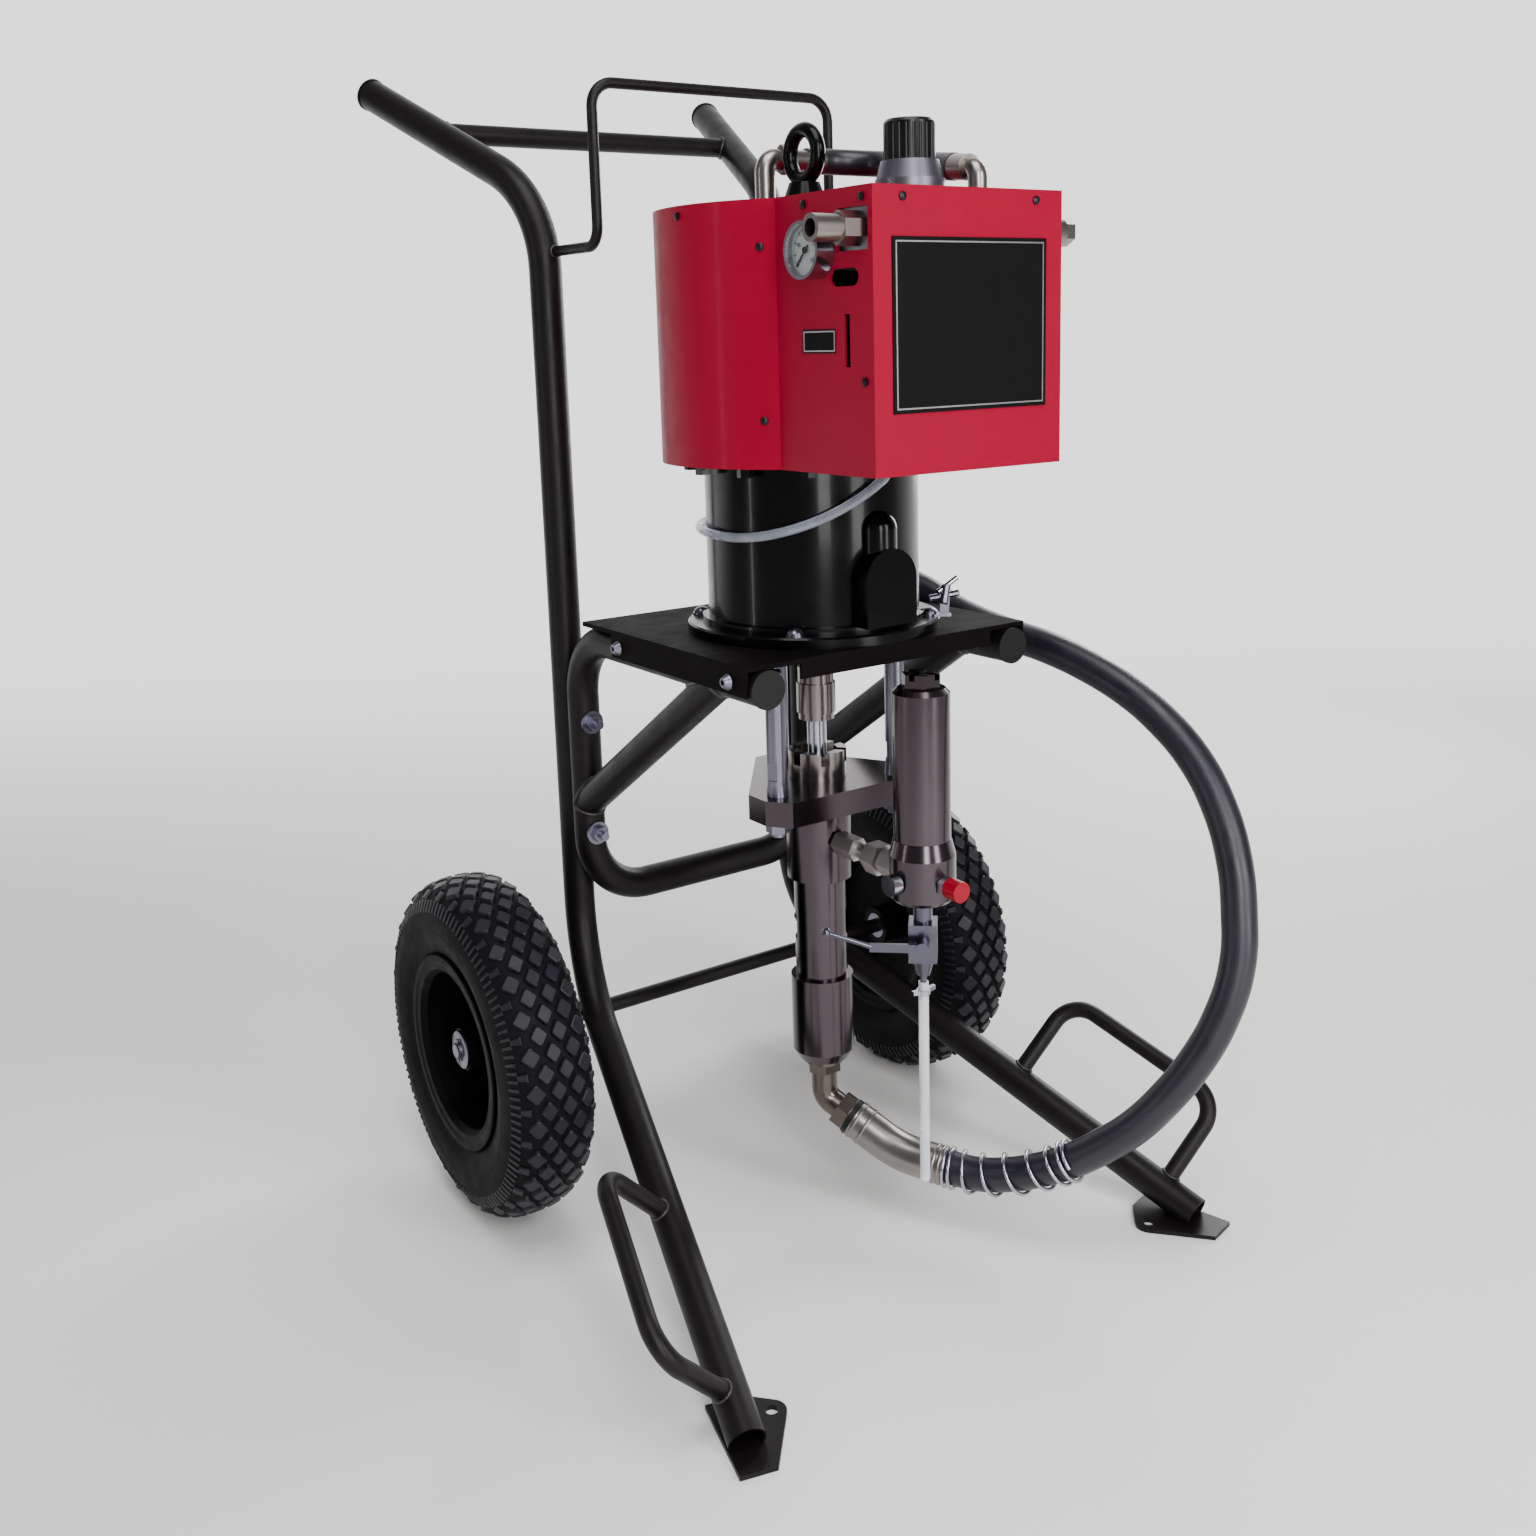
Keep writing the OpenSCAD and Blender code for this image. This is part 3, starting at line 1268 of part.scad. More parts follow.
module outlet_union() {
    y0 = -motor_y - upper_r + 1;
    y1 = filter_at[1] + filter_base_r;
    span = y0 - y1;
    color("#8f836f") translate([0, y0, outlet_z]) rotate([90, 0, 0]) difference() {
        union() {
            translate([0, 0, -0.6]) cylinder(d = 17, h = span);
            translate([0, 0, 4]) hexagon(24, 34);
            translate([0, 0, span - 50]) hexagon(32, 20);
            translate([0, 0, span - 26]) hexagon(26, 24);
        }
        translate([0, 0, -2]) cylinder(r = 5, h = span + 4);
    }
}

module filter_base() {
    color("#4b3f45") difference() {
        translate(filter_at + [0, 0, base_bottom]) rotate_extrude() polygon([
            [0, 0], [filter_base_r - 5, 0], [filter_base_r, 5], [filter_base_r, base_bevel - base_bottom],
            [bowl_r + 0.5, bowl_bottom - base_bottom], [bowl_r - 4, bowl_bottom - base_bottom],
            [bowl_r - 4, bowl_bottom - base_bottom + 14], [bowl_r - 8, bowl_bottom - base_bottom + 14],
            [bowl_r - 8, 30], [0, 30]
        ]);
        translate([0, filter_at[1] + filter_base_r + 1, outlet_z]) rotate([90, 0, 0]) cylinder(d = 17 + 2 * weld, h = 14);
        for (a = [180, outlet_turn]) {
            translate(filter_at + [0, 0, outlet_z]) rotate([0, 90, a]) translate([0, 0, filter_base_r - 13])
                cylinder(d = 16 + 2 * weld, h = 20);
        }
    }
}

module filter_bowl() {
    color("#4b3f45") translate(filter_at) {
        difference() {
            union() {
                translate([0, 0, bowl_bottom + weld]) cylinder(r = bowl_r, h = bowl_top - bowl_bottom - 5);
                translate([0, 0, bowl_top - 5 + weld]) cylinder(r1 = bowl_r, r2 = bowl_r - 5, h = 5);
            }
            translate([0, 0, bowl_bottom - 1]) cylinder(r = bowl_r - 4 + weld, h = bowl_top - bowl_bottom - 11);
        }
        translate([0, 0, bowl_top + 2 * weld]) difference() {
            hexagon(36, 15);
            for (a = [0, 90]) {
                rotate([0, 0, a + 20]) translate([-30, -3, 9]) cube([60, 6, 10]);
            }
        }
    }
}

module filter_element() {
    color("#c9cad2") translate(filter_at + [0, 0, base_bottom + 30 + weld]) pipe(bowl_r - 11, bowl_r - 13, 150);
}

module outlet_fitting() {
    color("#c9cad2") translate(filter_at + [0, 0, outlet_z]) {
        rotate([0, 90, outlet_turn]) translate([0, 0, filter_base_r - 10]) {
            difference() {
                union() {
                    cylinder(d = 16, h = 30);
                    translate([0, 0, 10 + seat]) hexagon(20, 8);
                }
                translate([0, 0, -1]) cylinder(r = 4, h = 40);
            }
        }
        // blanking plug of the second port
        rotate([0, 90, 180]) translate([0, 0, filter_base_r - 10]) {
            cylinder(d = 16, h = 11);
            translate([0, 0, 10 + seat]) cylinder(d = 23, h = 11);
        }
    }
}

module outlet_cap() {
    color("#e8143c") translate(filter_at + [0, 0, outlet_z]) rotate([0, 90, outlet_turn])
        translate([0, 0, filter_base_r + 8 + 2 * seat]) difference() {
            cylinder(d = 22, h = 18);
            translate([0, 0, -1]) cylinder(r = 8 + axle_clearance, h = 14);
        }
}

// Drain valve: neck, block, stem boss, cone and hose barb
module drain_valve() {
    color("#b9bac4") translate(filter_at) difference() {
        union() {
            translate([0, 0, valve_z[1] - 1]) cylinder(d = 20, h = base_bottom - valve_z[1] + 1 - weld);
            rotate([0, 0, valve_turn]) translate([-valve_w / 2, -valve_w / 2, valve_z[0]])
                cube([valve_w, valve_w, valve_z[1] - valve_z[0]]);
            translate([0, 0, valve_z[0] - 18]) cylinder(d1 = 14, d2 = 24, h = 18.5);
            translate([0, 0, valve_z[0] - 46]) cylinder(d = 7, h = 30);
            rotate([0, 90, valve_turn]) translate([-stem_z, 0, valve_w / 2 - 1]) cylinder(d = 12, h = 9);
        }
        translate([0, 0, valve_z[0] - 50]) cylinder(r = 2, h = 100);
        rotate([0, 90, valve_turn]) translate([-stem_z, 0, valve_w / 2 - 6]) cylinder(r = 3 + axle_clearance, h = 30);
    }
}

stem_z = 394;
lever_l = 100;
lever_rise = 15;

// Lever of the drain valve: stem, hub, flat bar and ball. It lies level when the valve is shut.
module drain_lever() {
    z0 = valve_w / 2 + 8 + joint_gap;
    color("#b9bac4") translate(filter_at) rotate([0, 90, valve_turn]) translate([-stem_z, 0, 0]) {
        translate([0, 0, valve_w / 2 - 5]) cylinder(r = 3, h = 14);
        translate([0, 0, z0]) cylinder(d = 14, h = 8);
        translate([-4.5, -lever_l * 0.55, z0 + 2]) cube([9, lever_l * 0.55, 4]);
        straight([-0.5, -lever_l * 0.53, z0 + 4], [-lever_rise, -lever_l, z0 + 4], 5);
        translate([-lever_rise, -lever_l, z0 + 4]) sphere(d = 10);
    }
}

module drain_tube() {
    top = valve_z[0] - 26;
    bottom = 116;
    color("#d8d9e4") translate(filter_at + [0, 0, bottom]) pipe(drain_tube_d / 2, 3.5 + weld, top - bottom);
    // clamp band
    color("#b9bac2") translate(filter_at + [0, 0, top - 14]) {
        pipe(drain_tube_d / 2 + 1.6, drain_tube_d / 2 + weld, 5);
        translate([drain_tube_d / 2 + 1.2, -3, 0]) cube([9, 6, 5]);
    }
}

// ---------------------------------------------------------------- nodes

on_floor() left_frame_tube();
on_floor() right_frame_tube();
on_floor() handle_crossbar();
on_floor() hose_hanger();
on_floor() tube_plugs();
on_floor() carrier_frame();
on_floor() platform_plate();
on_floor() frame_bolts();
on_floor() leg_hoops();
on_floor() foot_plates();
on_floor() axle();
on_floor() left_tyre();
on_floor() left_rim();
on_floor() left_bearings();
on_floor() right_tyre();
on_floor() right_rim();
on_floor() right_bearings();
on_floor() motor_base();
on_floor() motor_cylinder();
on_floor() motor_head();
on_floor() air_piston();
on_floor() rod_coupling();
on_floor() transfer_manifold();
on_floor() pilot_tube();
on_floor() shroud_wrap();
on_floor() shroud_front();
on_floor() shroud_top();
on_floor() shroud_screws();
on_floor() label_plates();
on_floor() lifting_eye();
on_floor() air_manifold();
on_floor() air_fittings();
on_floor() air_hose();
on_floor() regulator_body();
on_floor() regulator_knob();
on_floor() gauge_case();
on_floor() gauge_needle();
on_floor() gauge_lens();
on_floor() tie_rods();
on_floor() yoke_plate();
on_floor() packing_nut();
on_floor() upper_cylinder();
on_floor() lower_cylinder();
on_floor() foot_valve();
on_floor() displacement_rod();
on_floor() intake_ball();
on_floor() inlet_elbow();
on_floor() hose_sleeve();
on_floor() spring_guard();
on_floor() suction_hose();
on_floor() suction_fitting();
on_floor() outlet_union();
on_floor() filter_bowl();
on_floor() filter_base();
on_floor() filter_element();
on_floor() outlet_fitting();
on_floor() outlet_cap();
on_floor() drain_valve();
on_floor() drain_lever();
on_floor() drain_tube();
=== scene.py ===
import math
import random

import bmesh
import bpy
from mathutils import Matrix, Vector


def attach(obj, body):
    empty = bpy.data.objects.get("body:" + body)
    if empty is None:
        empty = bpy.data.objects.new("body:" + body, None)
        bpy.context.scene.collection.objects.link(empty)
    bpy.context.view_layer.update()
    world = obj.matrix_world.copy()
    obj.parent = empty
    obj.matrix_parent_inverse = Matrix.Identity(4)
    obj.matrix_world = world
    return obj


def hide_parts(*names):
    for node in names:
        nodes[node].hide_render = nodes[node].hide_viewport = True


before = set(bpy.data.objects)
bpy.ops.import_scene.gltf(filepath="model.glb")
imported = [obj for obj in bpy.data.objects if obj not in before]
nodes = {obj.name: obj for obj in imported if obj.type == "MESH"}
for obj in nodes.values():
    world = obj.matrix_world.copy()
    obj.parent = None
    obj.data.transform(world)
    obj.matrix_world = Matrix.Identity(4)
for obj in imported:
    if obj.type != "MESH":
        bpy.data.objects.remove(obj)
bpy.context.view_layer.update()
random.seed(7)

# driving dimensions of part.scad, in mm
MID = 126.161           # from the axle to the middle of the part, along Y
WHEEL_X = 312           # middle of each wheel
TYRE_R = 203            # axle height and outer radius of the tyres
HUB_END = 33            # half the hub's length
TUBE_R = 19             # frame tube
UPRIGHT_X = 163         # frame uprights
UPRIGHT_Y = 35
KNEE_Z = 1186           # where a handle and its upright meet
HEEL_Z = 239            # where a leg and its upright meet
MOTOR_Y = -254          # axis of the motor and pump
FILTER_Y = -437         # axis of the filter, its drain valve and tube
BOX_X = 116.5           # side face of the shroud's front box
BOX_Y = MOTOR_Y - 261   # its front face


def P(x, y, z):
    """A point in part.scad's millimetres (Y = 0 at the axle) as metres in the row frame."""
    return Vector((x, y + MID, z)) / 1000


# ---------------------------------------------------------------- camera

# solved from both wheels, both feet and the shroud, in radians, mm and pixels of the photograph
HEADING, TILT, ROLL = 0.96986, 0.195544, -0.0277906
EYE = P(-990.96, -1618.17, 1024.16)
FOCAL_PX = 1539.389
CENTRE_PX = (773.39, 640)
PHOTO_PX = 1536
SENSOR = 36


def make_camera():
    ahead = Vector((math.cos(TILT) * math.cos(HEADING), math.cos(TILT) * math.sin(HEADING), -math.sin(TILT)))
    level = Vector((math.sin(HEADING), -math.cos(HEADING), 0))
    above = level.cross(ahead)
    right = level * math.cos(ROLL) + above * math.sin(ROLL)
    up = above * math.cos(ROLL) - level * math.sin(ROLL)
    data = bpy.data.cameras.new("camera")
    cam = bpy.data.objects.new("camera", data)
    bpy.context.scene.collection.objects.link(cam)
    m = Matrix.Identity(4)
    for row in range(3):
        m[row][0], m[row][1], m[row][2] = right[row], up[row], -ahead[row]
    m.translation = EYE
    cam.matrix_world = m
    data.sensor_fit = "HORIZONTAL"
    data.sensor_width = SENSOR
    data.lens = FOCAL_PX / PHOTO_PX * SENSOR
    data.shift_x = 0.5 - CENTRE_PX[0] / PHOTO_PX
    data.shift_y = CENTRE_PX[1] / PHOTO_PX - 0.5
    data.clip_start, data.clip_end = 0.05, 60
    bpy.context.scene.camera = cam


make_camera()

# ---------------------------------------------------------------- materials


def lin(text):
    """A colour as #rrggbb, in Blender's linear values."""
    out = []
    for i in (1, 3, 5):
        c = int(text[i:i + 2], 16) / 255
        out.append(c / 12.92 if c <= 0.04045 else ((c + 0.055) / 1.055) ** 2.4)
    return (*out, 1.0)


def scaled(c, k):
    """The colour c made k times as bright."""
    return tuple(min(1.0, v * k) for v in c[:3]) + (1.0,)


class Mat:
    """A Principled material with node helpers."""

    def __init__(self, name, **sockets):
        self.material = bpy.data.materials.new(name)
        self.material.use_nodes = True
        self.tree = self.material.node_tree
        self.bsdf = self.tree.nodes["Principled BSDF"]
        for k, v in sockets.items():
            self.bsdf.inputs[k.replace("_", " ")].default_value = v
        self.coord = self.tree.nodes.new("ShaderNodeTexCoord").outputs["Object"]

    def link(self, a, b):
        self.tree.links.new(a, b)

    def noise(self, scale, detail=3.0, rough=0.55, stretch=None):
        n = self.tree.nodes.new("ShaderNodeTexNoise")
        n.inputs["Scale"].default_value = scale
        n.inputs["Detail"].default_value = detail
        n.inputs["Roughness"].default_value = rough
        vec = self.coord
        if stretch:
            mp = self.tree.nodes.new("ShaderNodeMapping")
            mp.inputs["Scale"].default_value = stretch
            self.link(self.coord, mp.inputs["Vector"])
            vec = mp.outputs["Vector"]
        self.link(vec, n.inputs["Vector"])
        return n.outputs["Fac"]

    def ramp(self, fac, stops):
        r = self.tree.nodes.new("ShaderNodeValToRGB")
        e = r.color_ramp.elements
        e[0].position, e[0].color = stops[0]
        e[1].position, e[1].color = stops[-1]
        for pos, col in stops[1:-1]:
            k = e.new(pos)
            k.color = col
        self.link(fac, r.inputs["Fac"])
        return r.outputs["Color"]

    def range(self, fac, lo, hi, a=0.3, b=0.7):
        r = self.tree.nodes.new("ShaderNodeMapRange")
        r.inputs["From Min"].default_value = a
        r.inputs["From Max"].default_value = b
        r.inputs["To Min"].default_value = lo
        r.inputs["To Max"].default_value = hi
        self.link(fac, r.inputs["Value"])
        return r.outputs["Result"]

    def mix(self, fac, a, b):
        n = self.tree.nodes.new("ShaderNodeMix")
        n.data_type = "RGBA"
        self.link(fac, n.inputs["Factor"])
        for sock, v in ((n.inputs[6], a), (n.inputs[7], b)):
            if isinstance(v, tuple):
                sock.default_value = v
            else:
                self.link(v, sock)
        return n.outputs[2]

    def color(self, out):
        self.link(out, self.bsdf.inputs["Base Color"])

    def rough(self, out):
        self.link(out, self.bsdf.inputs["Roughness"])

    def bump(self, out, strength, distance):
        b = self.tree.nodes.new("ShaderNodeBump")
        b.inputs["Strength"].default_value = strength
        b.inputs["Distance"].default_value = distance
        self.link(out, b.inputs["Height"])
        self.link(b.outputs["Normal"], self.bsdf.inputs["Normal"])

    def wave(self, scale, vec):
        """Soft bands along the X value of vec."""
        w = self.tree.nodes.new("ShaderNodeTexWave")
        w.wave_type = "BANDS"
        w.bands_direction = "X"
        w.inputs["Scale"].default_value = scale
        self.link(vec, w.inputs["Vector"])
        return w.outputs["Fac"]

    def radius(self, centre):
        """Distance of the surface from the line along X through centre, as an X value."""
        sub = self.tree.nodes.new("ShaderNodeVectorMath")
        sub.operation = "SUBTRACT"
        sub.inputs[1].default_value = centre
        self.link(self.coord, sub.inputs[0])
        mul = self.tree.nodes.new("ShaderNodeVectorMath")
        mul.operation = "MULTIPLY"
        mul.inputs[1].default_value = (0, 1, 1)
        self.link(sub.outputs[0], mul.inputs[0])
        ln = self.tree.nodes.new("ShaderNodeVectorMath")
        ln.operation = "LENGTH"
        self.link(mul.outputs[0], ln.inputs[0])
        cmb = self.tree.nodes.new("ShaderNodeCombineXYZ")
        self.link(ln.outputs["Value"], cmb.inputs["X"])
        return cmb.outputs[0]


def painted(name, colour, rough, coat=0.0, peel=0.12, scuffs=0.0, coat_rough=0.05, spread=0.06, specular=0.5):
    """Paint or powder coat: orange peel, slow colour drift and a few light scuffs."""
    m = Mat(name, Coat_Weight=coat, Coat_Roughness=coat_rough, Specular_IOR_Level=specular)
    c = lin(colour)
    drift = m.noise(6, 2)
    col = m.mix(m.range(drift, 0, 1), scaled(c, 1 - spread), scaled(c, 1 + spread))
    if scuffs:
        marks = m.noise(120, 6, 0.75, (1, 1, 0.25))
        col = m.mix(m.range(marks, 0, scuffs, 0.66, 0.78), col, scaled(c, 2.6))
    m.color(col)
    m.rough(m.range(m.noise(40, 4), rough - 0.05, rough + 0.06))
    m.bump(m.noise(650, 2), peel, 0.0006)
    return m.material


def metal(name, colour, rough, stain=0.05, grain=300, depth=0.0):
    """Bare metal: faint stains, slowly changing gloss and, with a depth, a fine grain."""
    m = Mat(name, Metallic=1.0)
    c = lin(colour)
    m.color(m.mix(m.range(m.noise(22, 5, 0.6), 0, 1), scaled(c, 1 - stain), scaled(c, 1 + stain)))
    m.rough(m.range(m.noise(7, 2), rough - 0.01, rough + 0.012))
    if depth:
        m.bump(m.noise(grain, 3, 0.6), depth, 0.0003)
    return m.material


def plastic(name, colour, rough, grain=900, depth=0.1, coat=0.0, specular=0.5):
    """Moulded plastic: slow colour drift, uneven gloss and a fine grain."""
    m = Mat(name, Coat_Weight=coat, Specular_IOR_Level=specular)
    c = lin(colour)
    m.color(m.mix(m.range(m.noise(14, 3), 0, 1), scaled(c, 0.95), scaled(c, 1.05)))
    m.rough(m.range(m.noise(60, 3), rough - 0.04, rough + 0.05))
    m.bump(m.noise(grain, 2), depth, 0.0004)
    return m.material


def clear(name, colour, rough, transmission, ior=1.46):
    """Glass or clear plastic, a little cloudy."""
    m = Mat(name, Transmission_Weight=transmission, IOR=ior)
    c = lin(colour)
    m.color(m.mix(m.range(m.noise(30, 3), 0, 1), scaled(c, 0.9), scaled(c, 1.06)))
    m.rough(m.range(m.noise(60, 2), rough, rough + 0.08))
    m.bump(m.noise(220, 2), 0.05, 0.0005)
    return m.material


FRAME_PAINT = painted("frame_paint", "#100b0e", 0.42, peel=0.12, scuffs=0.06, specular=0.2)
PLATFORM = painted("platform_paint", "#0e0a0c", 0.6, peel=0.1, scuffs=0.05, specular=0.03)
RED_PAINT = painted("red_paint", "#880026", 0.42, coat=0.03, peel=0.02, coat_rough=0.12, spread=0.02,
                    specular=0.1)
MOTOR_BLACK = painted("motor_black", "#040305", 0.22, coat=0.12, peel=0.04, coat_rough=0.08, specular=0.12)
SCREW = metal("screw_steel", "#2c2c30", 0.35, 0.12, 300, 0.02)
SATIN = metal("satin_nickel", "#8f8985", 0.3, 0.06)
CHROME = metal("chrome_steel", "#a9a9b4", 0.18)
ZINC = metal("zinc_steel", "#777684", 0.3, 0.06)
VALVE = metal("valve_steel", "#5c5b68", 0.25, 0.06)
FITTING = metal("fitting_steel", "#b4afad", 0.38)
PUMP = metal("pump_steel", "#50484d", 0.2, 0.04)
BRIGHT = metal("bright_steel", "#7d7675", 0.22, 0.03)
NICKEL = metal("nickel_brass", "#665d57", 0.24, 0.12)
SLEEVE = metal("sleeve_steel", "#888481", 0.3, 0.06)
ALLOY = metal("regulator_alloy", "#6f6c76", 0.4, 0.05, 500, 0.04)
MOTOR_ALLOY = metal("motor_alloy", "#8f8f94", 0.4, 0.08, 400, 0.06)
BLACK_PLASTIC = plastic("black_plastic", "#0b0a0c", 0.5, specular=0.25)
KNOB = plastic("knob_plastic", "#060506", 0.32, 500, 0.03, coat=0.08, specular=0.25)
RED_PLASTIC = plastic("red_plastic", "#8a001c", 0.28, 500, 0.04, coat=0.05, specular=0.2)
LENS = clear("lens_glass", "#f4f8fa", 0.02, 1.0, 1.45)
PILOT = clear("clear_tube", "#c9cfdf", 0.12, 0.75)
DRAIN = clear("drain_plastic", "#f0f1f6", 0.2, 0.45)
PLATE = plastic("plate_face", "#060607", 0.5, 1400, 0.03, specular=0.1)
SILVER_LINE = metal("plate_border", "#c8c8cc", 0.3, 0.12, 300, 0.03)
DIAL = plastic("dial_face", "#e9e9e6", 0.5, 900, 0.02)
DIAL_INK = plastic("dial_ink", "#15151a", 0.5, 900, 0.02)
WELD = painted("weld_paint", "#211c1e", 0.38, peel=0.5)


def rubber(name, colour, rough, specular):
    """Rubber with dusty places and a fine grain."""
    m = Mat(name, Specular_IOR_Level=specular)
    c = lin(colour)
    dust = m.noise(9, 5, 0.6)
    m.color(m.mix(m.range(dust, 0, 1, 0.35, 0.75), scaled(c, 0.85), scaled(c, 1.25)))
    m.rough(m.range(m.noise(45, 4), rough - 0.06, rough + 0.08))
    m.bump(m.noise(420, 4, 0.6), 0.22, 0.0008)
    return m.material


TYRE = rubber("tyre_rubber", "#0f0d10", 0.6, 0.08)
# the tread is the carcass rubber with a lighter, bluer base colour: a painted sheen for the highlights on the
# tread blocks, beside the darker grooves and side walls
TREAD = rubber("tread_rubber", "#13111a", 0.45, 0.3)
HOSE = rubber("hose_rubber", "#12121c", 0.38, 0.5)


def rim_paint(side):
    """Black paint over faint turning marks around the wheel's axle."""
    m = Mat("rim_paint_" + side, Specular_IOR_Level=0.06)
    c = lin("#080708")
    x = -WHEEL_X if side == "left" else WHEEL_X
    m.color(m.mix(m.range(m.noise(12, 4), 0, 1), scaled(c, 0.85), scaled(c, 1.2)))
    m.rough(m.range(m.noise(50, 3), 0.44, 0.56))
    vec = m.radius(P(x, 0, TYRE_R))
    m.bump(m.wave(30, vec), 0.35, 0.0015)
    return m.material


def give(mat, *names):
    """One material for the nodes with these names."""
    for n in names:
        o = nodes[n]
        if not o.material_slots:
            o.data.materials.append(mat)
        for s in o.material_slots:
            s.material = mat


give(FRAME_PAINT, "left_frame_tube", "right_frame_tube", "handle_crossbar", "hose_hanger", "carrier_frame",
     "leg_hoops", "foot_plates", "axle")
give(PLATFORM, "platform_plate")
give(BLACK_PLASTIC, "tube_plugs", "gauge_needle")
give(ZINC, "frame_bolts", "left_bearings", "right_bearings", "tie_rods", "filter_element", "spring_guard")
give(rim_paint("left"), "left_rim")
give(rim_paint("right"), "right_rim")
give(TYRE, "left_tyre", "right_tyre")
give(MOTOR_BLACK, "motor_base", "motor_cylinder", "motor_head", "transfer_manifold", "lifting_eye")
give(MOTOR_ALLOY, "air_piston", "air_manifold")
give(NICKEL, "inlet_elbow")
give(PILOT, "pilot_tube")
give(RED_PAINT, "shroud_wrap", "shroud_front", "shroud_top")
give(SCREW, "shroud_screws")
give(PLATE, "label_plates")
give(CHROME, "gauge_case", "displacement_rod", "intake_ball", "outlet_fitting")
give(VALVE, "drain_valve", "drain_lever")
give(FITTING, "outlet_union")
give(SATIN, "air_fittings")
give(HOSE, "air_hose", "suction_hose")
give(ALLOY, "regulator_body")
give(KNOB, "regulator_knob")
give(LENS, "gauge_lens")
give(BRIGHT, "rod_coupling", "packing_nut")
give(PUMP, "yoke_plate", "upper_cylinder", "lower_cylinder", "foot_valve", "filter_bowl", "filter_base")
give(SLEEVE, "hose_sleeve", "suction_fitting")
give(RED_PLASTIC, "outlet_cap")
give(DRAIN, "drain_tube")

# ---------------------------------------------------------------- small makers


def enter(name, data, body="frame", place=Matrix.Identity(4)):
    """An object in the scene at its place and on its body."""
    o = bpy.data.objects.new(name, data)
    bpy.context.scene.collection.objects.link(o)
    o.matrix_world = place
    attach(o, body)
    return o


def add(name, verts, faces, mat, slot, body="frame", smooth=40):
    """A mesh; edges sharper than smooth degrees stay sharp, and None leaves every face flat."""
    me = bpy.data.meshes.new(name)
    me.from_pydata([tuple(v) for v in verts], [], faces)
    me.validate()
    bm = bmesh.new()
    bm.from_mesh(me)
    bmesh.ops.recalc_face_normals(bm, faces=bm.faces)
    bm.to_mesh(me)
    bm.free()
    me.materials.append(mat)
    if smooth is not None:
        me.shade_smooth()
        me.set_sharp_from_angle(angle=math.radians(smooth))
    return enter(name, me, body)


def curve(name, points, radius, mat, sides, kind="POLY", cyclic=False, radii=None):
    """A round bar through points; radii scales its radius at each of them."""
    cu = bpy.data.curves.new(name, "CURVE")
    cu.dimensions = "3D"
    cu.bevel_depth = radius
    cu.bevel_resolution = sides
    cu.use_fill_caps = True
    sp = cu.splines.new(kind)
    if kind == "BEZIER":
        sp.bezier_points.add(len(points) - 1)
        for b, p in zip(sp.bezier_points, points):
            b.co = p
            b.handle_left_type = b.handle_right_type = "AUTO"
        cu.resolution_u = 12
    else:
        sp.points.add(len(points) - 1)
        for i, (b, p) in enumerate(zip(sp.points, points)):
            b.co = (*p, 1)
            b.radius = radii[i] if radii else 1
    sp.use_cyclic_u = cyclic
    sp.use_smooth = True
    cu.materials.append(mat)
    return enter(name, cu)


def lathe(name, profile, centre, axis, mat, slot, body="frame", steps=64, closed=True):
    """profile: (radius, height) in metres, turned about axis through centre."""
    q = Vector((0, 0, 1)).rotation_difference(Vector(axis))
    verts, faces = [], []
    n = len(profile)
    for i in range(steps):
        a = 2 * math.pi * i / steps
        for r, h in profile:
            verts.append(centre + q @ Vector((r * math.cos(a), r * math.sin(a), h)))
    for i in range(steps):
        j = (i + 1) % steps
        for k in range(n if closed else n - 1):
            m = (k + 1) % n
            faces.append((i * n + k, j * n + k, j * n + m, i * n + m))
    return add(name, verts, faces, mat, slot, body)


# ---------------------------------------------------------------- suction hose, spring guard and drain tube

TURN = math.radians(30)


def S(s, z):
    """A place s mm out along the suction fitting's direction, at height z, as in part.scad."""
    return (s * math.sin(TURN), MOTOR_Y - s * math.cos(TURN), z)


ROUTE_MM = [S(150.5, 80), S(190, 79), S(227, 87), S(263, 101), S(298, 120), S(332, 145), S(364, 173),
            (199, -596, 211), (221, -618, 256), (244, -632, 307), (262, -636, 362), (272, -628, 417),
            (281, -611, 472), (286, -585, 521), (288, -550, 563), (284, -508, 598), (279, -462, 624),
            (267, -413, 646), (253, -364, 662), (243, -313, 671), (232, -271, 681), (222, -229, 695),
            (210, -190, 714), (188, -158, 726), (140, -114, 726), (92, -92, 726), (46, -88, 726)]
ROUTE = [P(*p) for p in ROUTE_MM]
HOSE_R = 0.019
WIRE_R = 0.0021


def along(p, x):
    """A point on the smooth curve through the points p, where x counts its spans."""
    i = min(int(x), len(p) - 2)
    k = x - i
    a, b, c, d = p[max(i - 1, 0)], p[i], p[i + 1], p[min(i + 2, len(p) - 1)]
    bend, twist = 2 * a - 5 * b + 4 * c - d, 3 * b - a - 3 * c + d
    return 0.5 * (2 * b + (c - a) * k + bend * k * k + twist * k ** 3)


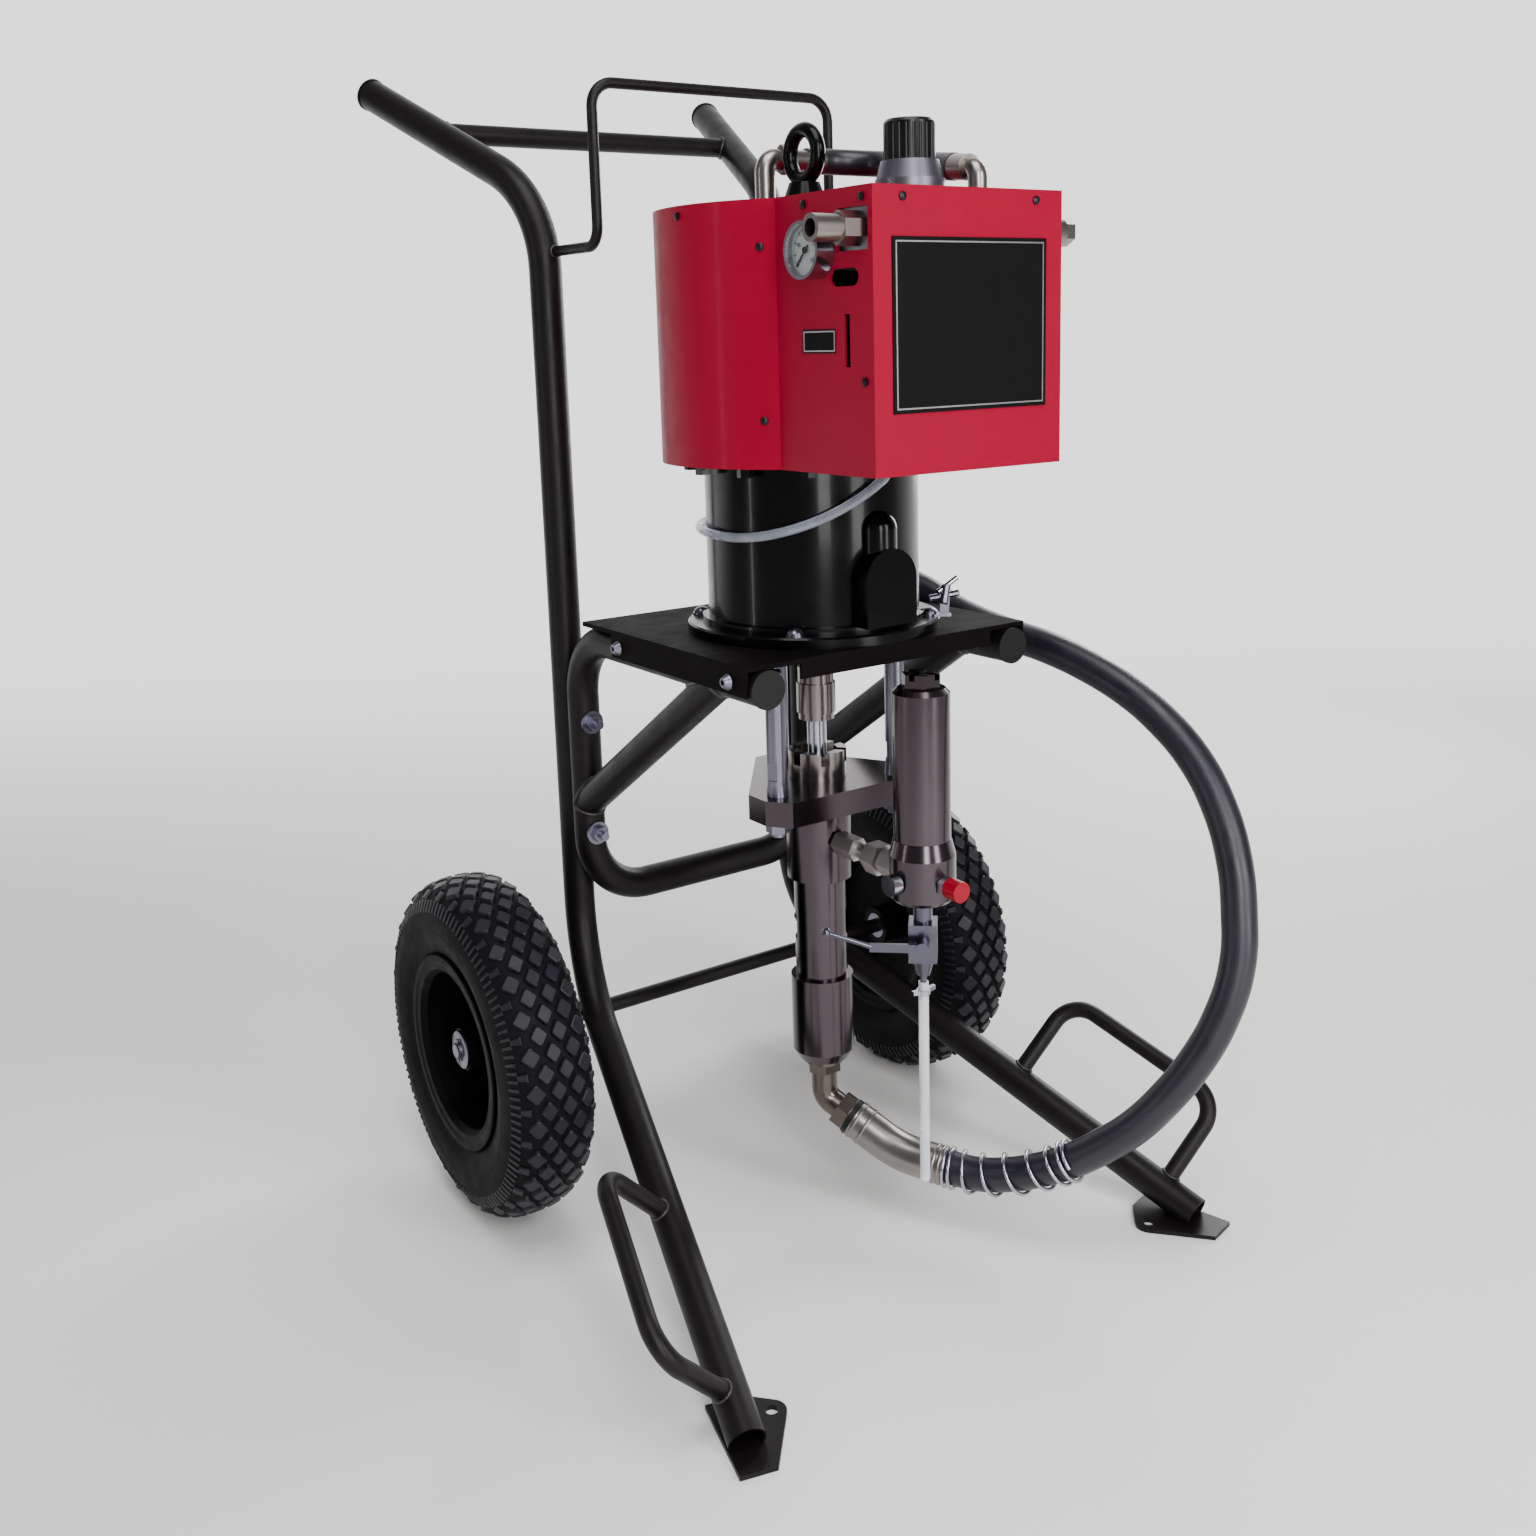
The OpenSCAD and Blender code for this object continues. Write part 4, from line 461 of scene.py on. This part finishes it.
def make_hose():
    """The hose's skin and the spring wire around its first stretch."""
    hose = curve("suction_hose_skin", ROUTE, HOSE_R, HOSE, kind="BEZIER", sides=10)
    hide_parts("suction_hose")
    turns, per, gap = 8.25, 32, 0.00125
    start, spans, crowding, near = 0.06, 4.0, 0.7, 0.02
    count = int(turns * per)
    r = HOSE_R + WIRE_R + gap
    pts = []
    for i in range(count + 1):
        k = i / count
        # the turns lie closer at both ends
        x = start + spans * (k - crowding / (2 * math.pi) * math.sin(2 * math.pi * k))
        t = (along(ROUTE, x + near) - along(ROUTE, x - near)).normalized()
        u = (Vector((0, 0, 1)) - t * t.z).normalized()
        w = t.cross(u)
        a = 2 * math.pi * i / per
        pts.append(along(ROUTE, x) + r * (math.cos(a) * u + math.sin(a) * w))
    guard = curve("spring_guard_wire", pts, WIRE_R, CHROME, sides=3)
    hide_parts("spring_guard")


# faces of a prism whose four edges are given as pairs of points
BRICK = [(0, 2, 3, 1), (2, 4, 5, 3), (4, 6, 7, 5), (6, 0, 1, 7), (0, 6, 4, 2), (1, 3, 5, 7)]


def make_drain():
    """The clear drain tube and the clamp with its two ears at the tube's top."""
    top, bottom, radius = 346, 116, 0.0055
    n = 16
    pts = [P(0, FILTER_Y, top + (bottom - top) * i / (n - 1)) for i in range(n)]
    tube = curve("drain_tube_skin", pts, radius, DRAIN, sides=6)
    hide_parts("drain_tube")
    z = top - 14
    band = lathe("drain_clamp", [(0.0054, 0), (0.0072, 0), (0.0072, 0.005), (0.0054, 0.005)],
                 P(0, FILTER_Y, z), (0, 0, 1), CHROME, slot="chrome_steel", steps=32)
    for side in (-1, 1):
        ear = []
        for dx, dy in ((6, -3), (15, -2), (15, 2), (6, 3)):
            for dz in (0, 4.5):
                ear.append(P(side * dx, FILTER_Y + dy, z + dz + 0.12 * dx))
        name = "drain_clamp_ear_%s" % ("ab"[side > 0])
        add(name, ear, BRICK, CHROME, slot="chrome_steel", smooth=None)


make_hose()
make_drain()

# ---------------------------------------------------------------- tyres


def smooth_line(pts):
    """The points of a smooth line through pts, five to each span."""
    per = 5
    p = [Vector((a, b, 0)) for a, b in pts]
    out = []
    for i in range(len(p) - 1):
        for k in range(per):
            out.append(along(p, i + k / per))
    out.append(p[-1])
    return [(v.x, v.y) for v in out]


# half a section of the tyre, outside and inside: (lateral place, radius) in mm
TYRE_SKIN = smooth_line([(0, 197.5), (18, 196.5), (33, 191.5), (43, 183), (48.5, 172), (52, 154), (50, 136),
                         (43.5, 119), (39, 110), (38, 101.6)])
TYRE_HOLLOW = [(31, 101.6), (28, 112), (36, 140), (30, 172), (0, 184)]


def make_carcass(side, centre):
    prof = [(r / 1000, -u / 1000) for u, r in reversed(TYRE_SKIN)]
    prof += [(r / 1000, u / 1000) for u, r in TYRE_SKIN[1:]]
    prof += [(r / 1000, u / 1000) for u, r in TYRE_HOLLOW]
    prof += [(r / 1000, -u / 1000) for u, r in reversed(TYRE_HOLLOW[:-1])]
    carcass = lathe("tyre_" + side, prof, centre, (1, 0, 0), TYRE, "tyre_rubber", side + "_wheel", 120)
    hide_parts(side + "_tyre")


def skin(u):
    """Radius and tilt of the carcass at a lateral place u, mm, up to just short of its widest point."""
    a = min(abs(u), 51.4)
    for (u0, r0), (u1, r1) in zip(TYRE_SKIN, TYRE_SKIN[1:]):
        if u0 <= a <= u1:
            k = (a - u0) / max(u1 - u0, 1e-6)
            return r0 + (r1 - r0) * k, min(math.atan2(r0 - r1, u1 - u0), 1.25)


def above_skin(centre, u, phi, h):
    """A point h mm above the carcass, at the angle phi from the wheel's top."""
    r, tilt = skin(u)
    lateral = u + math.copysign(1, u) * h * math.sin(tilt)
    radius = r + h * math.cos(tilt)
    return centre + Vector((lateral, radius * math.sin(phi), radius * math.cos(phi))) / 1000


def lug(mesh, centre, u, phi, shape, high, taper):
    """A block with sloping sides and a slightly bevelled top; shape is its foot, sunk into the carcass."""
    verts, faces = mesh
    base, n, foot = len(verts), len(shape), -1.2
    r = skin(u)[0]
    for h, k in ((foot, 1.0), (high * 0.82, taper * 1.08), (high, taper * 0.94)):
        for across, around in shape:
            verts.append(above_skin(centre, u + across * k, phi + around * k / r, h))
    for ring in (base, base + n):
        for i in range(n):
            j = (i + 1) % n
            faces.append((ring + i, ring + j, ring + n + j, ring + n + i))
    faces.append(tuple(base + 2 * n + i for i in range(n)))


# feet of the blocks: (across the tread, around the wheel) in mm
DIAMOND = [(10.4, 0), (9.4, 2.2), (1.8, 12.2), (-1.8, 12.2), (-9.4, 2.2),
           (-10.4, 0), (-9.4, -2.2), (-1.8, -12.2), (1.8, -12.2), (9.4, -2.2)]
SHOULDER = [(4.6, 3.4), (-4.6, 5), (-4.6, -5), (4.6, -3.4)]
RIB = [(3.2, 1.9), (-3.2, 2.3), (-3.2, -2.3), (3.2, -1.9)]


def make_tread(side, centre):
    """Six rows of diamonds, a row of blocks on each shoulder and fine ribs below it."""
    mesh = [], []
    count = 30
    pitch = 2 * math.pi / count
    for row, u in enumerate((-29, -17.4, -5.8, 5.8, 17.4, 29)):
        high = 5.6 if abs(u) < 20 else 5.0
        for i in range(count):
            lug(mesh, centre, u, (i + 0.5 * (row % 2)) * pitch, DIAMOND, high, 0.78)
    for sg in (-1, 1):
        shift = 0.5 if sg < 0 else 0.0
        for i in range(count):
            lug(mesh, centre, sg * 39.0, (i + shift) * pitch, [(a * sg, b) for a, b in SHOULDER], 3.6, 0.82)
        for i in range(4 * count):
            lug(mesh, centre, sg * 46.6, (i + 0.5) * pitch / 4, [(a * sg, b) for a, b in RIB], 1.7, 0.8)
    add("tread_" + side, *mesh, TREAD, "tyre_rubber", side + "_wheel", 30)


def make_mould_rings(side, centre):
    """Three thin raised rings on each side wall."""
    for sg in (-1, 1):
        for k, (u, r) in enumerate(((51.6, 148), (48.0, 130.5), (43.6, 119.5))):
            low, top = sg * (u - 0.8) / 1000, sg * (u + 0.5) / 1000
            ring = [(r / 1000 - 0.0011, low), (r / 1000, top), (r / 1000 + 0.0011, low)]
            name = "tyre_ring_%s_%s%d" % (side, "a" if sg < 0 else "b", k)
            lathe(name, ring, centre, (1, 0, 0), TYRE, "tyre_rubber", side + "_wheel", 96)


def make_tyre(side):
    centre = P(-WHEEL_X if side == "left" else WHEEL_X, 0, TYRE_R)
    make_carcass(side, centre)
    make_tread(side, centre)
    make_mould_rings(side, centre)


make_tyre("left")
make_tyre("right")


def make_hub_end(side):
    """Washer, axle end and split pin in bare zinc over the painted axle."""
    s = -1 if side == "left" else 1
    x = s * (WHEEL_X + HUB_END)
    centre, axis = P(x, 0, TYRE_R), (s, 0, 0)
    face = [(0.0096, 0.0009), (0.0218, 0.0009), (0.0224, 0.0014), (0.0224, 0.0032), (0.0218, 0.0036),
            (0.0096, 0.0036)]
    lathe("hub_washer_" + side, face, centre, axis, ZINC, slot="zinc_steel", steps=48)
    end = [(0.0, 0.0091), (0.0082, 0.0091), (0.0097, 0.0078), (0.0097, 0.0038), (0.0, 0.0038)]
    lathe("axle_end_" + side, end, centre, axis, ZINC, slot="zinc_steel", steps=32, closed=False)
    pin = [(0.0019, 0), (0.0019, 0.0288), (0.0, 0.0288)]
    foot = P(x + s * 6, 0, TYRE_R - 14.4)
    lathe("split_pin_" + side, pin, foot, (0, 0, 1), ZINC, slot="zinc_steel", steps=16, closed=False)


make_hub_end("left")
make_hub_end("right")

# ---------------------------------------------------------------- plates and gauge dial


def bar_frame(name, corners, width, lift, normal, mat, slot):
    """A thin raised border that follows four corners."""
    c = sum(corners, Vector()) / 4
    ex, ey = (corners[1] - corners[0]).normalized(), (corners[3] - corners[0]).normalized()
    verts, faces = [], []
    for p in corners:
        inward = c - p
        q = p + ex * math.copysign(width, inward.dot(ex)) + ey * math.copysign(width, inward.dot(ey))
        verts += [p, q, p + normal * lift, q + normal * lift]
    for i in range(4):
        j = (i + 1) % 4
        a, b = 4 * i, 4 * j
        faces += [(a + 2, b + 2, b + 3, a + 3), (a, b, b + 2, a + 2), (a + 1, a + 3, b + 3, b + 1)]
    return add(name, verts, faces, mat, slot=slot, smooth=None)


def make_plates():
    """Silver borders of the front plate and of the small side plate."""
    seat, plate, side_plate = 0.05, 1.2, 0.8        # gap behind the plates, and how thick each is
    y = BOX_Y - seat - plate
    x, z0, z1 = 91.5, 953.5, 1104.5
    corners = [P(-x, y, z0), P(x, y, z0), P(x, y, z1), P(-x, y, z1)]
    bar_frame("plate_border", corners, 0.0014, 0.0003, Vector((0, -1, 0)), SILVER_LINE, "plate_metal")
    x = -BOX_X - seat - side_plate
    y0, y1, z0, z1 = MOTOR_Y - 204, MOTOR_Y - 155, 1007.5, 1026.5
    corners = [P(x, y0, z0), P(x, y1, z0), P(x, y1, z1), P(x, y0, z1)]
    bar_frame("side_plate_border", corners, 0.0012, 0.0003, Vector((-1, 0, 0)), SILVER_LINE, "plate_metal")


def make_dial():
    """White dial with a plain scale, seen from -X: its right is -Y."""
    c = P(-BOX_X - 12.15, -434, 1100)
    disc = [(0.0001, 0), (0.0234, 0), (0.0234, 0.0004), (0.0001, 0.0004)]
    lathe("dial", disc, c, (-1, 0, 0), DIAL, slot="plate_metal")
    sweep, marks, every = 270, 40, 5
    verts, faces = [], []

    def tick(angle, r0, r1, w):
        b = len(verts)
        for r, s in ((r0, -w), (r1, -w), (r1, w), (r0, w)):
            a = math.radians(angle)
            dy = -(r * math.sin(a) + s * math.cos(a))
            dz = r * math.cos(a) - s * math.sin(a)
            for dx in (-0.0004, -0.0006):
                verts.append(c + Vector((dx, dy, dz)))
        faces.extend([(b, b + 2, b + 4, b + 6), (b + 1, b + 7, b + 5, b + 3), (b, b + 1, b + 3, b + 2),
                      (b + 2, b + 3, b + 5, b + 4), (b + 4, b + 5, b + 7, b + 6), (b + 6, b + 7, b + 1, b)])

    for i in range(marks + 1):
        inner, width = (0.0182, 0.00025) if i % every else (0.0165, 0.0005)
        tick(sweep * (i / marks - 0.5), inner, 0.0212, width)
    add("dial_ticks", verts, faces, DIAL_INK, slot="plate_metal", smooth=None)
    numbers, ring = 5, 0.0128
    for i in range(numbers):
        a = math.radians(sweep * (i / (numbers - 1) - 0.5))
        t = bpy.data.curves.new("dial_number_%d" % i, "FONT")
        t.body = str(40 * i)
        t.size = 0.0056
        t.align_x = "CENTER"
        t.align_y = "CENTER"
        t.extrude = 0.0001
        t.materials.append(DIAL_INK)
        at = c + Vector((-0.0006, -ring * math.sin(a), ring * math.cos(a)))
        facing = Matrix(((0, 0, -1), (-1, 0, 0), (0, 1, 0))).to_4x4()
        enter("dial_number_%d" % i, t, place=Matrix.Translation(at) @ facing)


make_plates()
make_dial()

# ---------------------------------------------------------------- small fittings


def rod(name, a, b, r, mat, slot):
    """A round bar with chamfered ends from a to b."""
    d = b - a
    h, c = d.length, r * 0.2
    half = [(0.0001, 0), (r - c, 0), (r, c), (r, h - c), (r - c, h), (0.0001, h)]
    return lathe(name, half, a, d.normalized(), mat, slot=slot, steps=24)


def make_sleeve_beads():
    """Rolled beads at both ends of the sleeve, the collar before it and the lug under its mouth."""
    a, b, c = (P(*S(*q)) for q in ((38, 117), (92, 86), (150, 80)))
    first, last = (b - a).normalized(), (c - b).normalized()
    bead = [(0.0219, 0), (0.0228, 0.0008), (0.0232, 0.002), (0.0228, 0.0032), (0.0219, 0.004)]
    for tag, at, d in (("a", a + first * 0.002, first), ("b", a + first * 0.014, first),
                       ("c", c - last * 0.006, last), ("d", c - last * 0.013, last)):
        lathe("sleeve_bead_" + tag, bead, at, d, SLEEVE, slot="sleeve_steel", steps=48)
    collar = [(0.0204, 0), (0.0214, 0.0006), (0.0214, 0.0064), (0.0204, 0.007)]
    lathe("hose_collar", collar, a - first * 0.0072, first, BLACK_PLASTIC, slot="hose_rubber", steps=48)
    side = first.cross(Vector((0, 0, 1))).normalized()
    down = -side.cross(first).normalized()
    base = a + down * 0.0215 - side * 0.004 + first * 0.001
    rod("crimp_lug", base, base + down * 0.008 - first * 0.006, 0.0032, SLEEVE, "sleeve_steel")


def make_ground_clamp():
    """Earthing clamp on the edge of the motor's base flange."""
    z = 718.4
    foot = [P(*q) for q in ((86, -358, z), (86, -358, z + 2), (101, -369, z), (101, -369, z + 2),
                            (108, -360, z), (108, -360, z + 2), (93, -349, z), (93, -349, z + 2))]
    add("clamp_foot", foot, BRICK, ZINC, slot="zinc_steel", smooth=None)
    tab = [P(*q) for q in ((92, -360, z), (93, -362, z + 30), (100, -365.6, z), (101, -367.6, z + 30),
                           (101, -364, z), (102, -366, z + 30), (93, -358.4, z), (94, -360.4, z + 30))]
    add("clamp_tab", tab, BRICK, ZINC, slot="zinc_steel", smooth=None)
    rod("clamp_screw", P(84, -352, z + 20), P(110, -372, z + 26), 0.0034, CHROME, "chrome_steel")
    rod("clamp_bar", P(90, -359, z + 27), P(116, -362, z + 41), 0.0028, CHROME, "chrome_steel")
    rod("clamp_barrel", P(94, -364, z + 14), P(101, -361, z + 34), 0.0052, ZINC, "zinc_steel")


make_sleeve_beads()
make_ground_clamp()

# ---------------------------------------------------------------- welds

# radii of the welded bars in mm, the crossbar's share of the handles and the hoops' places down the legs
CROSSBAR_R, HOOP_R, HANGER_R = 12.5, 10, 6
CROSSBAR_AT = 0.61
HOOP_ENDS = (383, 598)


def weld(name, start, direction, r, main_point, main_dir, main_r, size=2.0):
    """A rippled bead where a tube of radius r meets a tube of radius main_r, in mm."""
    proud, ripples, n = 0.3, 24, 72
    a = direction.normalized()
    u = a.orthogonal().normalized()
    v = a.cross(u)
    md = main_dir.normalized()
    pts, radii = [], []
    for i in range(n):
        t = 2 * math.pi * i / n
        # from this point of the bar's skin along the bar, to where it meets the main tube's skin
        base = start + (r + proud) * (math.cos(t) * u + math.sin(t) * v) - main_point
        b = base - md * base.dot(md)
        c = a - md * a.dot(md)
        qa, qb, qc = c.dot(c), 2 * b.dot(c), b.dot(b) - (main_r + proud) ** 2
        k = (-qb + math.sqrt(max(qb * qb - 4 * qa * qc, 0))) / (2 * qa)
        pts.append(P(*(main_point + base + a * k)))
        ripple = 0.16 * math.sin(i * 2 * math.pi * ripples / n)
        radii.append(1 + ripple + 0.08 * random.uniform(-1, 1))
    return curve(name, pts, size / 1000, WELD, cyclic=True, radii=radii, sides=3)


def leg(s, t):
    """The place t mm down a leg from its heel, and the leg's direction."""
    spread, reach, drop = 138, 537, 209
    d = Vector((s * spread, -reach, -drop)).normalized()
    return Vector((s * UPRIGHT_X, UPRIGHT_Y, HEEL_Z)) + d * t, d


def handle(s, k):
    """The place at the share k of a handle from its knee, and the handle's direction."""
    spread, reach, rise = 83, 286, 145
    a = Vector((s * UPRIGHT_X, UPRIGHT_Y, KNEE_Z))
    b = Vector((s * (UPRIGHT_X + spread), UPRIGHT_Y + reach, KNEE_Z + rise))
    return a + (b - a) * k, (b - a).normalized()


def make_welds():
    """Beads at the ends of the crossbar, the struts, the foot hoops and the hose hanger."""
    up, across = Vector((0, 0, 1)), Vector((0, 1, 0))
    for s, tag in ((-1, "l"), (1, "r")):
        p, d = handle(s, CROSSBAR_AT)
        q = handle(-s, CROSSBAR_AT)[0]
        weld("weld_bar_" + tag, p, q - p, CROSSBAR_R, p, d, TUBE_R)
        # strut ends
        low, high = Vector((s * UPRIGHT_X, -3.3, 473)), Vector((s * UPRIGHT_X, -318.3, 682))
        weld("weld_strut_low_" + tag, low, high - low, TUBE_R, low, up, TUBE_R, 2.4)
        weld("weld_strut_top_" + tag, high, low - high, TUBE_R, high, across, TUBE_R, 2.4)
        # hoop ends
        for t in HOOP_ENDS:
            a, e = leg(s, t)
            out = Vector((-e.y * s, e.x * s, 0)).normalized()
            above = (e.cross(out) * s).normalized()
            lean = math.radians(50)
            off = out * math.cos(lean) + above * math.sin(lean)
            weld("weld_hoop_%s%d" % (tag, t), a, off, HOOP_R, a, e, TUBE_R, 1.9)
        # hanger
        a = Vector((s * (UPRIGHT_X - 5), UPRIGHT_Y, 1125))
        upright = Vector((s * UPRIGHT_X, UPRIGHT_Y, 1125))
        weld("weld_hanger_" + tag, a, -across, HANGER_R, upright, up, TUBE_R, 1.5)


make_welds()

# ---------------------------------------------------------------- floor, light

BACKDROP = 1.9          # strength of the backdrop's glow


def make_floor():
    """A pale floor that takes the backdrop's own glow far behind the cart, so that no horizon shows."""
    me = bpy.data.meshes.new("floor")
    half = 14
    corners = [(-half, -half, 0), (half, -half, 0), (half, half, 0), (-half, half, 0)]
    me.from_pydata(corners, [], [(0, 1, 2, 3)])
    o = bpy.data.objects.new("floor", me)
    bpy.context.scene.collection.objects.link(o)
    m = Mat("floor_paint")
    c = lin("#eceae8")
    m.color(m.mix(m.range(m.noise(1.5, 3), 0, 1), scaled(c, 0.985), scaled(c, 1.01)))
    m.rough(m.range(m.noise(4, 2), 0.75, 0.85))
    dot = m.tree.nodes.new("ShaderNodeVectorMath")
    dot.operation = "DOT_PRODUCT"
    dot.inputs[1].default_value = (math.cos(HEADING), math.sin(HEADING), 0)
    m.link(m.coord, dot.inputs[0])
    fade = m.tree.nodes.new("ShaderNodeMapRange")
    fade.interpolation_type = "SMOOTHSTEP"
    for k, v in (("From Min", 0.2), ("From Max", 3.4)):
        fade.inputs[k].default_value = v
    m.link(dot.outputs["Value"], fade.inputs["Value"])
    glow = m.tree.nodes.new("ShaderNodeEmission")
    glow.inputs["Strength"].default_value = BACKDROP
    both = m.tree.nodes.new("ShaderNodeMixShader")
    m.link(fade.outputs["Result"], both.inputs["Fac"])
    m.link(m.bsdf.outputs["BSDF"], both.inputs[1])
    m.link(glow.outputs["Emission"], both.inputs[2])
    m.link(both.outputs[0], m.tree.nodes["Material Output"].inputs["Surface"])
    me.materials.append(m.material)


def make_backdrop():
    """A pale backdrop behind the cart and a dim room before it, so that round metal shows its streaks."""
    w = bpy.data.worlds.new("studio")
    bpy.context.scene.world = w
    w.use_nodes = True
    t = w.node_tree
    dot = t.nodes.new("ShaderNodeVectorMath")
    dot.operation = "DOT_PRODUCT"
    dot.inputs[1].default_value = (math.cos(HEADING), math.sin(HEADING), 0)
    t.links.new(t.nodes.new("ShaderNodeTexCoord").outputs["Generated"], dot.inputs[0])
    ramp = t.nodes.new("ShaderNodeMapRange")
    ramp.interpolation_type = "SMOOTHSTEP"
    for k, v in (("From Min", 0.3), ("From Max", 0.86), ("To Min", 0.2), ("To Max", BACKDROP)):
        ramp.inputs[k].default_value = v
    t.links.new(dot.outputs["Value"], ramp.inputs["Value"])
    t.links.new(ramp.outputs["Result"], t.nodes["Background"].inputs["Strength"])
    t.nodes["Background"].inputs["Color"].default_value = (1, 1, 1, 1)


def area(name, at, to, width, height, power):
    """An area light at a place, turned to another."""
    lamp = bpy.data.lights.new(name, "AREA")
    lamp.energy = power
    lamp.shape = "RECTANGLE"
    lamp.size = width
    lamp.size_y = height
    ob = bpy.data.objects.new(name, lamp)
    bpy.context.scene.collection.objects.link(ob)
    ob.location = at
    ob.rotation_mode = "QUATERNION"
    ob.rotation_quaternion = (Vector(to) - Vector(at)).to_track_quat("-Z", "Y")


def strip(name, azimuth, distance, height, width, power, tall=2.2):
    """A tall light beside the cart, its azimuth in degrees from +X."""
    a = math.radians(azimuth)
    at = Vector((distance * math.cos(a), distance * math.sin(a), height))
    area(name, at, (0, -0.1, 0.75), width, tall, power)


def make_lights():
    strip("key", 248, 2.6, 1.5, 0.6, 54)
    strip("fill", 282, 2.5, 1.3, 0.6, 44)
    strip("glint", 170, 2.6, 1.2, 0.08, 8)
    strip("rim", 20, 2.4, 1.6, 0.6, 40, tall=2.0)
    area("top", (-0.5, -0.9, 3.3), (0, -0.1, 0.7), 1.8, 1.8, 60)


make_floor()
make_backdrop()
make_lights()
